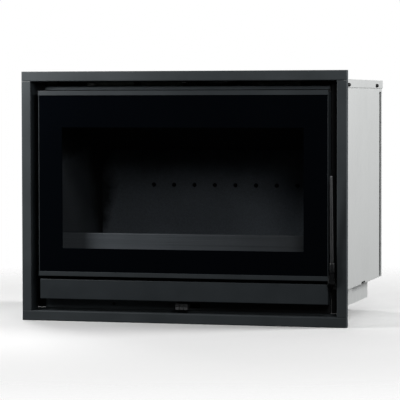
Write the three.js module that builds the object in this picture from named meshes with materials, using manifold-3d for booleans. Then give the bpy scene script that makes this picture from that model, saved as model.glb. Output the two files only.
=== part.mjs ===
// Fireplace insert: a steel firebox in a galvanised convection casing, with a glazed door
// that latches on a lever handle, an ash drawer, an air control and a slim front surround.
// Millimetres, +Z up. The front looks along -Y, and X runs to the viewer's right.
// The model is drawn with Y = 0 on the surround's front and Z = 0 on its lower edge, and the
// whole group is moved at the end, so that the origin lies at the middle of its footprint.

import * as THREE from 'three';
import { mergeVertices } from 'three/addons/utils/BufferGeometryUtils.js';
import Module from 'manifold-3d';

const wasm = await Module();
wasm.setup();

// ---------------------------------------------------------------- driving dimensions

const SEAT = 0.3;                    // gap between pieces that touch
const RUN = 0.6;                     // gap between pieces that move past each other

const SURROUND_WIDTH = 780;
const SURROUND_HEIGHT = 586;
const BAR_FACE = 23;                 // width of the surround's bars, seen from the front
const BAR_SHEET = 3;
const BAR_OUTER_RETURN = 15;         // depth of the fold that meets the wall
const BAR_INNER_RETURN = 25;         // depth of the fold inside the top bar
const FOLD_OUTER = 2;                // radius outside a fold of the painted sheets
const FOLD_INNER = 0.8;              // radius inside a fold of the painted sheets
const FOLD_STEPS = 3;                // facets round a fold

const FRONT_Y = 40;                  // front face of the firebox front plate
const FRONT_SHEET = 6;
const FRONT_SIDE_GAP = 22;           // from the surround's opening to the front plate
const FRONT_BOTTOM_GAP = 5;
const HOT_AIR_GAP = 12.4;            // height of the hot-air outlet over the front plate

const DOOR_SIDE_GAP = 19.5;          // from the surround's opening to the door
const DOOR_TOP_GAP = 22.4;
const DOOR_FRONT_Y = -3;
const DOOR_BACK_Y = 30;
const DOOR_SHEET = 2.5;
const DOOR_WALL = 3;
const DOOR_LIP = 1.6;                // thickness of the lips beside the glass
const RAIL_HEIGHT = 10.8;            // height of the two bars that hold the glass
const RAIL_SHEET = 2;
const RAIL_FLANGE = 3;
const GLASS_THICKNESS = 4;
const GLASS_GRIP = 4;                // how far a rail overlaps the glass
const DOOR_OPENING_SIDE = 46.5;      // width of the door frame beside its opening
const DOOR_OPENING_FOOT = 56;        // height of the door frame under its opening
const DOOR_OPENING_HEAD = 76.6;

const DRAWER_LIFT = 28.2;            // from the surround's opening up to the drawer front
const DRAWER_HEIGHT = 47.2;
const DRAWER_FRONT_Y = 3;
const DRAWER_RETURN = 24;
const DRAWER_SHEET = 2;
const DRAWER_DOOR_GAP = 7.6;         // between the drawer front and the door
const PAN_WIDTH = 406;
const PAN_BACK_GAP = 22;             // from the ash pan's back to the plane of the back lining
const PAN_SHEET = 1.5;

const FOOT_HEIGHT = 29.5;            // floor to the underside of the lower box
const BOX_HEIGHT = 50.2;
const CASING_SHEET = 1.5;
const CASING_INSET = 15;             // from the surround's edge to the casing side
const CASING_TOP_DROP = 20;          // from the surround's upper edge to the casing top
const CASING_FLANGE = 19;            // height of the casing top's folded edge
const REAR_AIR_GAP = 54.5;           // convection gap behind the firebox
const REAR_SLOT = 22;                // open slot between casing side and casing back
const REAR_RETURN = 10.5;            // fold of the casing back beside that slot
const BOX_BACK_INSET = 30;           // from the casing back to the lower box's back

const BODY_SHEET = 4;
const SIDE_LINING = 17.7;
const BACK_LINING = 24.7;
const FIREBOX_DEPTH = 405;           // from the surround's front to the back lining
const HEARTH_THICKNESS = 20.7;
const DUCT_DEPTH = 20;
const DUCT_SHEET = 1.5;
const AIR_HOLE_PITCH = 52.7;
const AIR_HOLE_COUNT = 8;
const AIR_HOLE_RADIUS = 4.5;
const AIR_HOLE_DROP = 87;            // from the baffle's rear edge down to the row of holes
const BAFFLE_THICKNESS = 20;
const BAFFLE_FRONT_Y = 142;
const BAFFLE_DROP = 70;              // from the top of the door's opening to its rear edge
const BAFFLE_RISE = 70.7;            // from its rear edge to its front edge
const GRATE_WIDTH = 300;
const GRATE_DEPTH = 160;
const GRATE_THICKNESS = 14.4;
const LOG_GUARD_HEIGHT = 80;
const LOG_GUARD_SHEET = 3.5;

const FLUE_SETBACK = 115;            // from the back lining forward to the flue's axis
const FLUE_RADIUS = 74;
const FLUE_WALL = 3;
const FLUE_FLANGE = 20;

const HINGE_INSET = 10.5;            // from the door's side to the hinge axis
const HINGE_Y = 14;
const HINGE_PIN_RADIUS = 4;
const HINGE_PLATE = 3.5;
const HINGE_BLOCK = 24;

const LATCH_PIVOT_DROP = 4;          // from the door's lower edge down to the lever's pivot
const LATCH_PIVOT_RADIUS = 3;
const HUB_RADIUS = 6.5;
const HANDLE_HEIGHT = 244;           // from the pivot up to the rod's top
const COLLAR_RADIUS = 5.8;
const COLLAR_LENGTH = 24.5;
const ROD_FOOT_RADIUS = 3.7;
const ROD_TOP_RADIUS = 2.7;
const ROD_LEAN = 12;                 // how far the rod's top stands in front of its foot

const TAB_WIDTH = 29;
const TAB_HEIGHT = 14;
const AIR_TRAVEL = 24;

// ---------------------------------------------------------------- derived positions

const openHalf = SURROUND_WIDTH / 2 - BAR_FACE;
const openTop = SURROUND_HEIGHT - BAR_FACE;
const openBottom = BAR_FACE;

const frontHalf = openHalf - FRONT_SIDE_GAP;
const frontBottom = openBottom + FRONT_BOTTOM_GAP;
const frontTop = openTop - HOT_AIR_GAP;
const frontBack = FRONT_Y + FRONT_SHEET;
const bodyFrontY = frontBack + SEAT;

const drawerBottom = openBottom + DRAWER_LIFT;
const drawerTop = drawerBottom + DRAWER_HEIGHT;
const drawerHalf = frontHalf + 1.5;
const doorBottom = drawerTop + DRAWER_DOOR_GAP;
const doorTop = openTop - DOOR_TOP_GAP;
const doorHalf = openHalf - DOOR_SIDE_GAP;
const doorOpenHalf = doorHalf - DOOR_OPENING_SIDE;
const doorOpenBottom = doorBottom + DOOR_OPENING_FOOT;
const doorOpenTop = doorTop - DOOR_OPENING_HEAD;

const boxTop = FOOT_HEIGHT + BOX_HEIGHT;
const casingHalf = SURROUND_WIDTH / 2 - CASING_INSET;
const casingTop = SURROUND_HEIGHT - CASING_TOP_DROP;
const casingFrontY = BAR_INNER_RETURN + SEAT;

const bodyHalf = frontHalf - 4;
const bodyFloor = drawerTop + 1.6;
const bodyTop = frontTop - 0.6;
const floorTop = bodyFloor + BODY_SHEET + SEAT;
const hearthTop = floorTop + HEARTH_THICKNESS;
const wallInner = bodyHalf - BODY_SHEET;
const liningHalf = wallInner - SEAT - SIDE_LINING;
const backLiningEnd = FIREBOX_DEPTH + BACK_LINING;
const bodyBackY = backLiningEnd + SEAT + DUCT_DEPTH;
const casingBackY = bodyBackY + BODY_SHEET + REAR_AIR_GAP;
const casingEndY = casingBackY + CASING_SHEET;
const boxBackY = casingEndY - BOX_BACK_INSET;
const slotBackY = casingEndY - REAR_RETURN - CASING_SHEET;
const slotFrontY = slotBackY - REAR_SLOT;

const hingeX = -(doorHalf - HINGE_INSET);
const latchX = (doorHalf + openHalf) / 2;
const latchPivotZ = doorBottom - LATCH_PIVOT_DROP;
const handleTopZ = latchPivotZ + HANDLE_HEIGHT;
const flueY = FIREBOX_DEPTH - FLUE_SETBACK;

// ---------------------------------------------------------------- materials

function paint(color, roughness, metalness) {
  return new THREE.MeshStandardMaterial({ color, roughness, metalness });
}

const surroundPaint = paint(0x3a4043, 0.55, 0.25);
const doorPaint = paint(0x3f4548, 0.5, 0.25);
const bodyPaint = paint(0x1b1d1f, 0.7, 0.2);
const galvanised = paint(0xc4c6c5, 0.42, 0.8);
const castIron = paint(0x2c3033, 0.75, 0.4);
const liningMaterial = paint(0x24282b, 0.9, 0.0);
const guardSteel = paint(0x35393c, 0.55, 0.6);
const handleSteel = paint(0x4a4c4d, 0.35, 0.8);
const tabSteel = paint(0x6a6c6e, 0.45, 0.6);
const blackSteel = paint(0x161718, 0.5, 0.5);
const ropeMaterial = paint(0x2e2f30, 0.95, 0.0);
const zincSteel = paint(0x9a9c9c, 0.4, 0.8);
const ceramicGlass = new THREE.MeshStandardMaterial({
  color: 0x0b0d10, roughness: 0.06, metalness: 0, transparent: true, opacity: 0.45,
});

// ---------------------------------------------------------------- shape helpers

function closed(geometry) {
  geometry.deleteAttribute('normal');
  geometry.deleteAttribute('uv');
  return mergeVertices(geometry, 1e-4);
}

function solid(geometry) {
  const merged = closed(geometry);
  const vertProperties = new Float32Array(merged.attributes.position.array);
  const triVerts = new Uint32Array(merged.index.array);
  return new wasm.Manifold(new wasm.Mesh({ numProp: 3, vertProperties, triVerts }));
}

function join(...solids) {
  return solids.reduce((whole, next) => whole.add(next));
}

function cut(whole, ...tools) {
  return tools.reduce((left, tool) => left.subtract(tool), whole);
}

function box(x0, x1, y0, y1, z0, z1) {
  const geometry = new THREE.BoxGeometry(x1 - x0, y1 - y0, z1 - z0);
  geometry.translate((x0 + x1) / 2, (y0 + y1) / 2, (z0 + z1) / 2);
  return solid(geometry);
}

// A closed profile. A point's third number, where it has one, rounds its corner.
function outline(points) {
  const corners = points.map(([u, v]) => new THREE.Vector2(u, v));
  const shape = new THREE.Shape();
  corners.forEach((corner, index) => {
    const radius = points[index][2] ?? 0;
    const [enter, leave] = [corners.at(index - 1), corners[(index + 1) % corners.length]].map(
      (neighbour) => neighbour.clone().sub(corner).setLength(radius).add(corner));
    if (index === 0) {
      shape.moveTo(enter.x, enter.y);
    } else {
      shape.lineTo(enter.x, enter.y);
    }
    if (radius > 0) {
      shape.quadraticCurveTo(corner.x, corner.y, leave.x, leave.y);
    }
  });
  return shape;
}

function extrude(shape, depth, basis, curveSegments = 8) {
  const geometry = new THREE.ExtrudeGeometry(shape, { depth, bevelEnabled: false, curveSegments });
  geometry.applyMatrix4(basis);
  return geometry;
}

const X_AXIS = new THREE.Vector3(1, 0, 0);
const Y_AXIS = new THREE.Vector3(0, 1, 0);
const Z_AXIS = new THREE.Vector3(0, 0, 1);

// A profile drawn in (y, z), and pushed along X.
function alongX(shape, x0, x1, curveSegments) {
  const basis = new THREE.Matrix4().makeBasis(Y_AXIS, Z_AXIS, X_AXIS).setPosition(x0, 0, 0);
  return solid(extrude(shape, x1 - x0, basis, curveSegments));
}

// A profile drawn in (x, z), and pushed along Y.
function alongY(shape, y0, y1, curveSegments) {
  const backwards = Y_AXIS.clone().negate();
  const basis = new THREE.Matrix4().makeBasis(X_AXIS, Z_AXIS, backwards).setPosition(0, y1, 0);
  return solid(extrude(shape, y1 - y0, basis, curveSegments));
}

// A profile drawn in (x, y), and pushed along Z.
function alongZ(shape, z0, z1, curveSegments) {
  const basis = new THREE.Matrix4().setPosition(0, 0, z0);
  return solid(extrude(shape, z1 - z0, basis, curveSegments));
}

function rod(axis, radius, start, length, segments = 20) {
  const geometry = new THREE.CylinderGeometry(radius, radius, length, segments);
  geometry.translate(0, length / 2, 0);
  geometry.applyQuaternion(new THREE.Quaternion().setFromUnitVectors(Y_AXIS, axis));
  geometry.translate(...start);
  return solid(geometry);
}

// A turned piece: [radius, height] pairs from the axis back to the axis, or a closed ring.
function turned(profile, segments = 24) {
  const points = profile.map(([radius, height]) => new THREE.Vector2(radius, height));
  return new THREE.LatheGeometry(points, segments);
}

function turnedZ(profile, x, y, z, segments) {
  const geometry = turned(profile, segments);
  geometry.rotateX(Math.PI / 2);
  geometry.translate(x, y, z);
  return solid(geometry);
}

// A slot with round ends, drawn in the profile's own plane.
function slotOutline(centreU, centreV, length, height) {
  const radius = height / 2;
  const half = length / 2 - radius;
  const shape = new THREE.Shape();
  shape.moveTo(centreU - half, centreV - radius);
  shape.lineTo(centreU + half, centreV - radius);
  shape.absarc(centreU + half, centreV, radius, -Math.PI / 2, Math.PI / 2, false);
  shape.lineTo(centreU - half, centreV + radius);
  shape.absarc(centreU - half, centreV, radius, Math.PI / 2, Math.PI * 1.5, false);
  return shape;
}

function range(count) {
  return [...Array(count).keys()];
}

const insert = new THREE.Group();

function piece(name, shape, material) {
  const mesh = shape.getMesh();
  const geometry = new THREE.BufferGeometry();
  geometry.setAttribute('position', new THREE.BufferAttribute(mesh.vertProperties, 3));
  geometry.setIndex(new THREE.BufferAttribute(mesh.triVerts, 1));
  geometry.computeVertexNormals();
  const part = new THREE.Mesh(geometry, material);
  part.name = name;
  insert.add(part);
}

// The same piece on both sides: draw it for side = +1, and get it for -1 too.
function onBothSides(name, draw, material) {
  piece(`${name}_left`, draw(-1), material);
  piece(`${name}_right`, draw(1), material);
}

// A box between two distances from the middle plane, on the given side.
function sideBox(side, near, far, y0, y1, z0, z1) {
  return box(Math.min(side * near, side * far), Math.max(side * near, side * far), y0, y1, z0, z1);
}

// ---------------------------------------------------------------- surround

// Each bar is a folded channel: a face, a fold back to the wall and a fold into the opening.
function channelOutline(outer, inner, innerReturn) {
  const towardsOuter = Math.sign(outer - inner) * BAR_SHEET;
  return outline([
    [0, outer, FOLD_OUTER], [0, inner, FOLD_OUTER],
    [innerReturn, inner], [innerReturn, inner + towardsOuter],
    [BAR_SHEET, inner + towardsOuter, FOLD_INNER], [BAR_SHEET, outer - towardsOuter, FOLD_INNER],
    [BAR_OUTER_RETURN, outer - towardsOuter], [BAR_OUTER_RETURN, outer],
  ]);
}

// The upper and lower bars are closed at their ends, and folded there too. Their inner fold
// goes deeper than the outer one only between the uprights, clear of the wall.
function horizontalBar(outer, inner, innerReturn) {
  const half = SURROUND_WIDTH / 2;
  const low = Math.min(outer, inner) - 1;
  const high = low + BAR_FACE + 2;
  const channel = alongX(channelOutline(outer, inner, innerReturn), -half, half, FOLD_STEPS);
  const section = outline([
    [0, outer, FOLD_OUTER], [0, inner, FOLD_OUTER], [BAR_OUTER_RETURN, inner], [BAR_OUTER_RETURN, outer],
  ]);
  const ends = [-half, half - BAR_SHEET].map((x) => alongX(section, x, x + BAR_SHEET, FOLD_STEPS));
  const innerEnd = openHalf + BAR_SHEET;
  const plan = outline([
    [-half, 0, FOLD_OUTER], [half, 0, FOLD_OUTER], [half, BAR_OUTER_RETURN],
    [innerEnd, BAR_OUTER_RETURN], [innerEnd, innerReturn], [-innerEnd, innerReturn],
    [-innerEnd, BAR_OUTER_RETURN], [-half, BAR_OUTER_RETURN],
  ]);
  return join(channel, ...ends).intersect(alongZ(plan, low, high, FOLD_STEPS));
}

// The lower bar's inner fold ends in a lip that the front plate stands over.
function lowerBar() {
  const lipHalf = openHalf - SEAT;
  const lip = box(
    -lipHalf, lipHalf, frontBack - BAR_SHEET, frontBack, openBottom - 1, frontBottom - SEAT);
  return join(horizontalBar(0, openBottom, frontBack), lip);
}

function upright(side) {
  const channel = channelOutline(SURROUND_WIDTH / 2, openHalf, frontBack);
  const points = channel.getPoints(FOLD_STEPS).map(({ x, y }) => [side * y, x]);
  return alongZ(outline(points), openBottom + SEAT, openTop - SEAT);
}

piece('surround_top', horizontalBar(SURROUND_HEIGHT, openTop, BAR_INNER_RETURN), surroundPaint);
piece('surround_bottom', lowerBar(), surroundPaint);
onBothSides('surround', upright, surroundPaint);

// Angles that carry the surround on the casing, and close the gap beside the front plate.
const supportTop = openTop - 3;

function supportAngle(side) {
  const outer = casingHalf - CASING_SHEET - SEAT;
  const inner = openHalf + BAR_SHEET + SEAT;
  const legBack = bodyFrontY + BAR_SHEET;
  const bar = sideBox(side, inner, outer, BAR_OUTER_RETURN + 1, legBack, frontBottom, supportTop);
  const leg = sideBox(side, frontHalf + SEAT, outer, bodyFrontY, legBack, frontBottom, supportTop);
  return join(bar, leg);
}

onBothSides('surround_support', supportAngle, bodyPaint);

// ---------------------------------------------------------------- firebox front

const fireOpening = {
  half: frontHalf - 33,
  bottom: hearthTop + 15,
  top: frontTop - 45.6,
};
const ashOpening = {
  half: PAN_WIDTH / 2 + 3,
  bottom: drawerBottom - 0.6,
  top: drawerTop - 1.8,
};

const tabLeft = -18;
const tabNeckInset = 2;
const neckLeft = tabLeft + tabNeckInset;
const neckRight = tabLeft + TAB_WIDTH - tabNeckInset;
const airSlot = {
  left: neckLeft - 1,
  right: neckRight + AIR_TRAVEL + 1,
  bottom: frontBottom + 5,
  top: frontBottom + 17.5,
};
const guideHalf = 185;
const guideScrewX = guideHalf - 9;

function bodyFront() {
  const plate = box(-frontHalf, frontHalf, FRONT_Y, frontBack, frontBottom, frontTop);
  const reach = 1;
  const through = [FRONT_Y - reach, frontBack + reach];
  const openings = [fireOpening, ashOpening].map(({ half, bottom, top }) =>
    box(-half, half, ...through, bottom, top));
  const air = box(airSlot.left, airSlot.right, ...through, airSlot.bottom, airSlot.top);
  const screwZ = (airSlot.bottom + airSlot.top) / 2;
  const screwRadius = 1.8;
  const screws = [-guideScrewX, guideScrewX].map((x) =>
    rod(Y_AXIS, screwRadius, [x, FRONT_Y - reach, screwZ], FRONT_SHEET + 2 * reach, 12));
  return cut(plate, ...openings, air, ...screws);
}

piece('firebox_front', bodyFront(), bodyPaint);

// A rolled strip along the front plate's upper edge turns the hot air forward.
function airDeflector() {
  const depth = 4;
  const height = 8;
  const radius = 3;
  const half = frontHalf - 2;
  const back = FRONT_Y - SEAT;
  const shape = new THREE.Shape();
  shape.moveTo(back, frontTop - height);
  shape.lineTo(back, frontTop);
  shape.lineTo(back - depth + radius, frontTop);
  shape.absarc(back - depth + radius, frontTop - radius, radius, Math.PI / 2, Math.PI, false);
  shape.lineTo(back - depth, frontTop - height);
  return alongX(shape, -half, half, 5);
}

piece('hot_air_deflector', airDeflector(), surroundPaint);

// A slotted strip between firebox top and casing top evens out the hot air.
const grilleY = 100;
const grilleSheet = 1.5;
const grillePitch = 134.6;
const grilleWeb = 16;
const grilleSlotHeight = 8;

function outletGrille() {
  const half = bodyHalf - 5;
  const bottom = bodyTop + SEAT;
  const top = casingTop - CASING_SHEET - SEAT;
  const plate = box(-half, half, grilleY, grilleY + grilleSheet, bottom, top);
  const count = Math.max(1, Math.floor((2 * half - grilleWeb) / grillePitch));
  const slots = range(count).map((index) => {
    const x = (index - (count - 1) / 2) * grillePitch;
    const shape = slotOutline(x, (bottom + top) / 2, grillePitch - grilleWeb, grilleSlotHeight);
    return alongY(shape, grilleY - 1, grilleY + grilleSheet + 1, 5);
  });
  return cut(plate, ...slots);
}

piece('hot_air_outlet_grille', outletGrille(), bodyPaint);

// ---------------------------------------------------------------- casing

const boltRadius = 2.5;
const boltDrop = 13;
const boltPlaces = [
  { name: 'front', y: casingFrontY + 54, z: casingTop - boltDrop },
  { name: 'rear', y: casingEndY - 86, z: casingTop - boltDrop },
];

function boltHoles(side) {
  return boltPlaces.map(({ y, z }) =>
    rod(X_AXIS, boltRadius + SEAT, [side > 0 ? casingHalf - 10 : -casingHalf - 10, y, z], 20, 12));
}

const casingBottom = boxTop + SEAT + CASING_SHEET + SEAT;
const flangeZ = casingTop - CASING_FLANGE;
const slotTopZ = flangeZ - 9;

// A lifting slot in each lower edge of the casing, through side and floor.
function casingNotch(side) {
  const depth = 9;
  const length = 46;
  const front = (casingFrontY + slotFrontY) / 2 + 1;
  return sideBox(
    side, casingHalf - depth, casingHalf + 1, front, front + length, boxTop, casingBottom + 3.4);
}

function casingSide(side) {
  const top = casingTop - CASING_SHEET - SEAT;
  const shape = outline([
    [casingFrontY, casingBottom], [slotFrontY, casingBottom], [slotFrontY, slotTopZ],
    [casingBackY - SEAT, slotTopZ], [casingBackY - SEAT, top], [casingFrontY, top],
  ]);
  const inner = casingHalf - CASING_SHEET;
  const sheet = alongX(shape, side > 0 ? inner : -casingHalf, side > 0 ? casingHalf : -inner);
  return cut(sheet, casingNotch(side), ...boltHoles(side));
}

onBothSides('casing_side', casingSide, galvanised);

// The casing back has an upper and a lower row of air slots, and a fold at each side.
function casingBack() {
  const top = casingTop - CASING_SHEET - SEAT;
  const sheet = box(-casingHalf, casingHalf, casingBackY, casingEndY, casingBottom, top);
  const foldTop = slotTopZ - SEAT;
  const foldInner = casingHalf - CASING_SHEET;
  const folds = [-1, 1].map((side) =>
    sideBox(side, foldInner, casingHalf, slotBackY, casingBackY + 0.5, casingBottom, foldTop));
  const rowInset = 40;
  const rows = [casingBottom + rowInset, slotTopZ - rowInset];
  const pitch = 115;
  const slotLength = 80;
  const slotHeight = 9;
  const plainEnd = 60;
  const count = Math.floor((casingHalf - plainEnd) * 2 / pitch);
  const columns = range(count).map((index) => (index - (count - 1) / 2) * pitch);
  const slots = rows.flatMap((z) => columns.map((x) =>
    alongY(slotOutline(x, z, slotLength, slotHeight), casingBackY - 1, casingEndY + 1, 4)));
  return cut(join(sheet, ...folds), ...slots);
}

piece('casing_back', casingBack(), galvanised);

// The casing top folds down over the sides, lets the flue collar through, and carries two
// rings of arc slots that are cut out where hot air is ducted away.
const collarHole = FLUE_RADIUS + FLUE_WALL + 3;
const knockoutRadius = 62;
const knockoutInset = 142;           // from the casing side to a knockout's centre

function knockoutArcs(x, y, z0, z1) {
  const width = 1.6;
  const sweep = THREE.MathUtils.degToRad(76);
  return range(4).map((quarter) => {
    const start = quarter * Math.PI / 2;
    const shape = new THREE.Shape();
    shape.absarc(x, y, knockoutRadius + width / 2, start, start + sweep, false);
    shape.absarc(x, y, knockoutRadius - width / 2, start + sweep, start, true);
    return alongZ(shape, z0, z1, 7);
  });
}

function casingCover() {
  const outer = casingHalf + SEAT + CASING_SHEET;
  const end = casingEndY + SEAT + CASING_SHEET;
  const under = casingTop - CASING_SHEET;
  const inner = casingHalf + SEAT;
  const whole = box(-outer, outer, casingFrontY, end, flangeZ, casingTop);
  const inside = box(-inner, inner, casingFrontY - 1, casingEndY + SEAT, flangeZ - 1, under);
  const flue = rod(Z_AXIS, collarHole, [0, flueY, under - 5], 20, 36);
  const ductX = casingHalf - knockoutInset;
  const arcs = [-ductX, ductX].flatMap((x) => knockoutArcs(x, flueY, under - 1, casingTop + 1));
  return cut(whole, inside, flue, ...arcs, ...boltHoles(-1), ...boltHoles(1));
}

piece('casing_top', casingCover(), galvanised);

// Dome-headed bolts fasten the casing top's fold to the sides.
function casingBolt(side, y, z) {
  const seat = casingHalf + SEAT + CASING_SHEET + SEAT;
  const shank = 8;
  const profile = [
    [0, -shank], [boltRadius, -shank], [boltRadius, 0], [4.5, 0], [4.5, 2.5], [3.6, 4.6], [1.8, 5.8],
    [0, 6.2],
  ];
  const geometry = turned(profile, 14);
  geometry.rotateZ(side > 0 ? -Math.PI / 2 : Math.PI / 2);
  geometry.translate(side * seat, y, z);
  return solid(geometry);
}

for (const { name, y, z } of boltPlaces) {
  onBothSides(`casing_bolt_${name}`, (side) => casingBolt(side, y, z), blackSteel);
}

const ashBoxHalf = PAN_WIDTH / 2 + 10;
const footX = (ashBoxHalf + frontHalf) / 2;
const footPlaces = [
  { name: 'front', y: bodyFrontY + 50 },
  { name: 'rear', y: boxBackY - 50 },
];
const studRadius = 5;

// The lower box holds the ash box between two side chambers, which room air enters from
// behind on its way up round the firebox.
function lowerBox() {
  const wall = CASING_SHEET;
  const inner = frontHalf - wall;
  const outer = box(-frontHalf, frontHalf, bodyFrontY, boxBackY, FOOT_HEIGHT, boxTop);
  const inside = box(-inner, inner, bodyFrontY - 1, boxBackY - wall, FOOT_HEIGHT + wall, boxTop + 1);
  const studs = footPlaces.flatMap(({ y }) => [-footX, footX].map((x) =>
    rod(Z_AXIS, studRadius + SEAT, [x, y, FOOT_HEIGHT - 1], 5, 16)));
  const inlets = [-120, 0, 120].map((x) =>
    alongY(slotOutline(x, FOOT_HEIGHT + BOX_HEIGHT / 2, 90, 16), boxBackY - 5, boxBackY + 1, 4));
  return cut(outer, inside, ...studs, ...inlets);
}

piece('lower_box', lowerBox(), galvanised);

const panBackY = FIREBOX_DEPTH - PAN_BACK_GAP;
const ashBoxEnd = panBackY + 16;

function casingFloor() {
  const front = bodyFrontY + BAR_SHEET + SEAT;
  const low = boxTop + SEAT;
  const through = [low - 1, low + CASING_SHEET + 1];
  const margin = 3;
  const gapHalf = ashBoxHalf + margin;
  const inletHalf = casingHalf - 45;
  const web = 20;
  const portFront = front + 130;
  const portBack = boxBackY - 100;
  const sheet = box(-casingHalf, casingHalf, front, casingEndY, low, low + CASING_SHEET);
  const ashGap = box(-gapHalf, gapHalf, front - 1, ashBoxEnd + margin, ...through);
  const inlet = box(-inletHalf, inletHalf, boxBackY + margin, casingBackY - margin, ...through);
  const ports = [-1, 1].map((side) =>
    sideBox(side, gapHalf + web, frontHalf - web, portFront, portBack, ...through));
  return cut(sheet, ashGap, inlet, ...ports, casingNotch(-1), casingNotch(1));
}

piece('casing_floor', casingFloor(), galvanised);

// Levelling feet: a pad, a stud and a hexagon nut under the lower box.
function levellingFoot(x, y) {
  const studTop = FOOT_HEIGHT + 14;
  const profile = [
    [0, 0], [18, 0], [18, 3], [16, 5], [8, 6.5], [studRadius, 9], [studRadius, studTop], [0, studTop],
  ];
  const nutRadius = 9.8;
  const nutHeight = 9;
  const nut = new THREE.CylinderGeometry(nutRadius, nutRadius, nutHeight, 6);
  nut.rotateX(Math.PI / 2);
  nut.translate(x, y, FOOT_HEIGHT - SEAT - nutHeight / 2);
  return join(turnedZ(profile, x, y, 0, 20), solid(nut));
}

for (const { name, y } of footPlaces) {
  onBothSides(`levelling_foot_${name}`, (side) => levellingFoot(side * footX, y), blackSteel);
}

// ---------------------------------------------------------------- firebox body

const bodyEndY = bodyBackY + BODY_SHEET;
const grateLedge = 10;
const grateFront = (FIREBOX_DEPTH - GRATE_DEPTH) / 2 + 28;
const grateHalf = GRATE_WIDTH / 2;
const ashFallHalf = grateHalf - grateLedge;
const ashFallFront = grateFront + grateLedge;
const ashFallBack = grateFront + GRATE_DEPTH - grateLedge;
const ductHalf = 25;

function bodyFloorPlate() {
  const inletHalf = ductHalf - 3;
  const through = [bodyFloor - 1, floorTop + 1];
  const plate = box(-bodyHalf, bodyHalf, bodyFrontY, bodyEndY, bodyFloor, bodyFloor + BODY_SHEET);
  const ashFall = box(-ashFallHalf, ashFallHalf, ashFallFront, ashFallBack, ...through);
  const inlet = box(-inletHalf, inletHalf, backLiningEnd + 3.5, bodyBackY - 3, ...through);
  return cut(plate, ashFall, inlet);
}

const wallTop = bodyTop - BODY_SHEET - SEAT;

function bodyTopPlate() {
  const plate = box(-bodyHalf, bodyHalf, bodyFrontY, bodyEndY, bodyTop - BODY_SHEET, bodyTop);
  return cut(plate, rod(Z_AXIS, FLUE_RADIUS, [0, flueY, bodyTop - 10], 20, 36));
}

piece('firebox_floor', bodyFloorPlate(), bodyPaint);
onBothSides('firebox_side', (side) =>
  sideBox(side, wallInner, bodyHalf, bodyFrontY, bodyEndY, floorTop, wallTop), bodyPaint);
const backHalf = wallInner - SEAT;
piece('firebox_back', box(-backHalf, backHalf, bodyBackY, bodyEndY, floorTop, wallTop), bodyPaint);
piece('firebox_top', bodyTopPlate(), bodyPaint);

function flueCollar() {
  const height = SURROUND_HEIGHT - bodyTop - SEAT;
  const outer = FLUE_RADIUS + FLUE_WALL;
  const bead = outer + 1.6;
  const flange = outer + FLUE_FLANGE;
  const profile = [
    [FLUE_RADIUS, 0], [flange, 0], [flange, 3], [outer, 3], [outer, height - 6], [bead, height - 4.5],
    [bead, height - 2.5], [outer, height - 1], [outer, height], [FLUE_RADIUS, height], [FLUE_RADIUS, 0],
  ];
  return turnedZ(profile, 0, flueY, bodyTop + SEAT, 40);
}

piece('flue_collar', flueCollar(), castIron);

// Linings: the side linings carry the sloping baffle on their upper edges.
const baffleBackZ = doorOpenTop - BAFFLE_DROP;
const baffleSlope = BAFFLE_RISE / (FIREBOX_DEPTH - SEAT - BAFFLE_FRONT_Y + 2);
const liningTopZ = baffleBackZ + BAFFLE_RISE;

function sideLining(side) {
  const shape = outline([
    [bodyFrontY, floorTop], [FIREBOX_DEPTH - SEAT, floorTop], [FIREBOX_DEPTH - SEAT, baffleBackZ],
    [BAFFLE_FRONT_Y - 2, liningTopZ], [bodyFrontY, liningTopZ],
  ]);
  const outer = wallInner - SEAT;
  return alongX(shape, side > 0 ? liningHalf : -outer, side > 0 ? outer : -liningHalf);
}

onBothSides('lining_side', sideLining, liningMaterial);

const airHoleZ = baffleBackZ - AIR_HOLE_DROP;
const airHoleX = range(AIR_HOLE_COUNT).map((index) =>
  (index - (AIR_HOLE_COUNT - 1) / 2) * AIR_HOLE_PITCH);

function backLining() {
  const half = wallInner - SEAT;
  const top = baffleBackZ + SEAT + BAFFLE_THICKNESS;
  const slab = box(-half, half, FIREBOX_DEPTH, backLiningEnd, floorTop, top);
  const holes = airHoleX.map((x) =>
    rod(Y_AXIS, AIR_HOLE_RADIUS, [x, FIREBOX_DEPTH - 1, airHoleZ], BACK_LINING + 2, 14));
  return cut(slab, ...holes);
}

piece('lining_back', backLining(), liningMaterial);

// A duct behind the back lining feeds the row of air holes from the lower box.
function airDuct() {
  const front = backLiningEnd + SEAT;
  const end = bodyBackY - SEAT;
  const half = AIR_HOLE_PITCH * (AIR_HOLE_COUNT - 1) / 2 + 20;
  const reach = 17;
  const low = airHoleZ - reach;
  const high = airHoleZ + reach;
  const wall = DUCT_SHEET;
  const outer = join(
    box(-half, half, front, end, low, high),
    box(-ductHalf, ductHalf, front, end, floorTop, high),
  );
  const inside = join(
    box(-half + wall, half - wall, front - 1, end - wall, low + wall, high - wall),
    box(-ductHalf + wall, ductHalf - wall, front - 1, end - wall, floorTop - 1, high - wall),
  );
  return cut(outer, inside);
}

piece('rear_air_duct', airDuct(), bodyPaint);

function baffle() {
  const half = wallInner - SEAT;
  const backY = FIREBOX_DEPTH - SEAT;
  const backZ = baffleBackZ + SEAT;
  const frontZ = backZ + baffleSlope * (backY - BAFFLE_FRONT_Y);
  const shape = outline([
    [backY, backZ], [backY, backZ + BAFFLE_THICKNESS],
    [BAFFLE_FRONT_Y, frontZ + BAFFLE_THICKNESS], [BAFFLE_FRONT_Y, frontZ],
  ]);
  return alongX(shape, -half, half);
}

piece('baffle', baffle(), liningMaterial);

const grateSeatZ = hearthTop - SEAT - GRATE_THICKNESS - SEAT;

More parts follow.
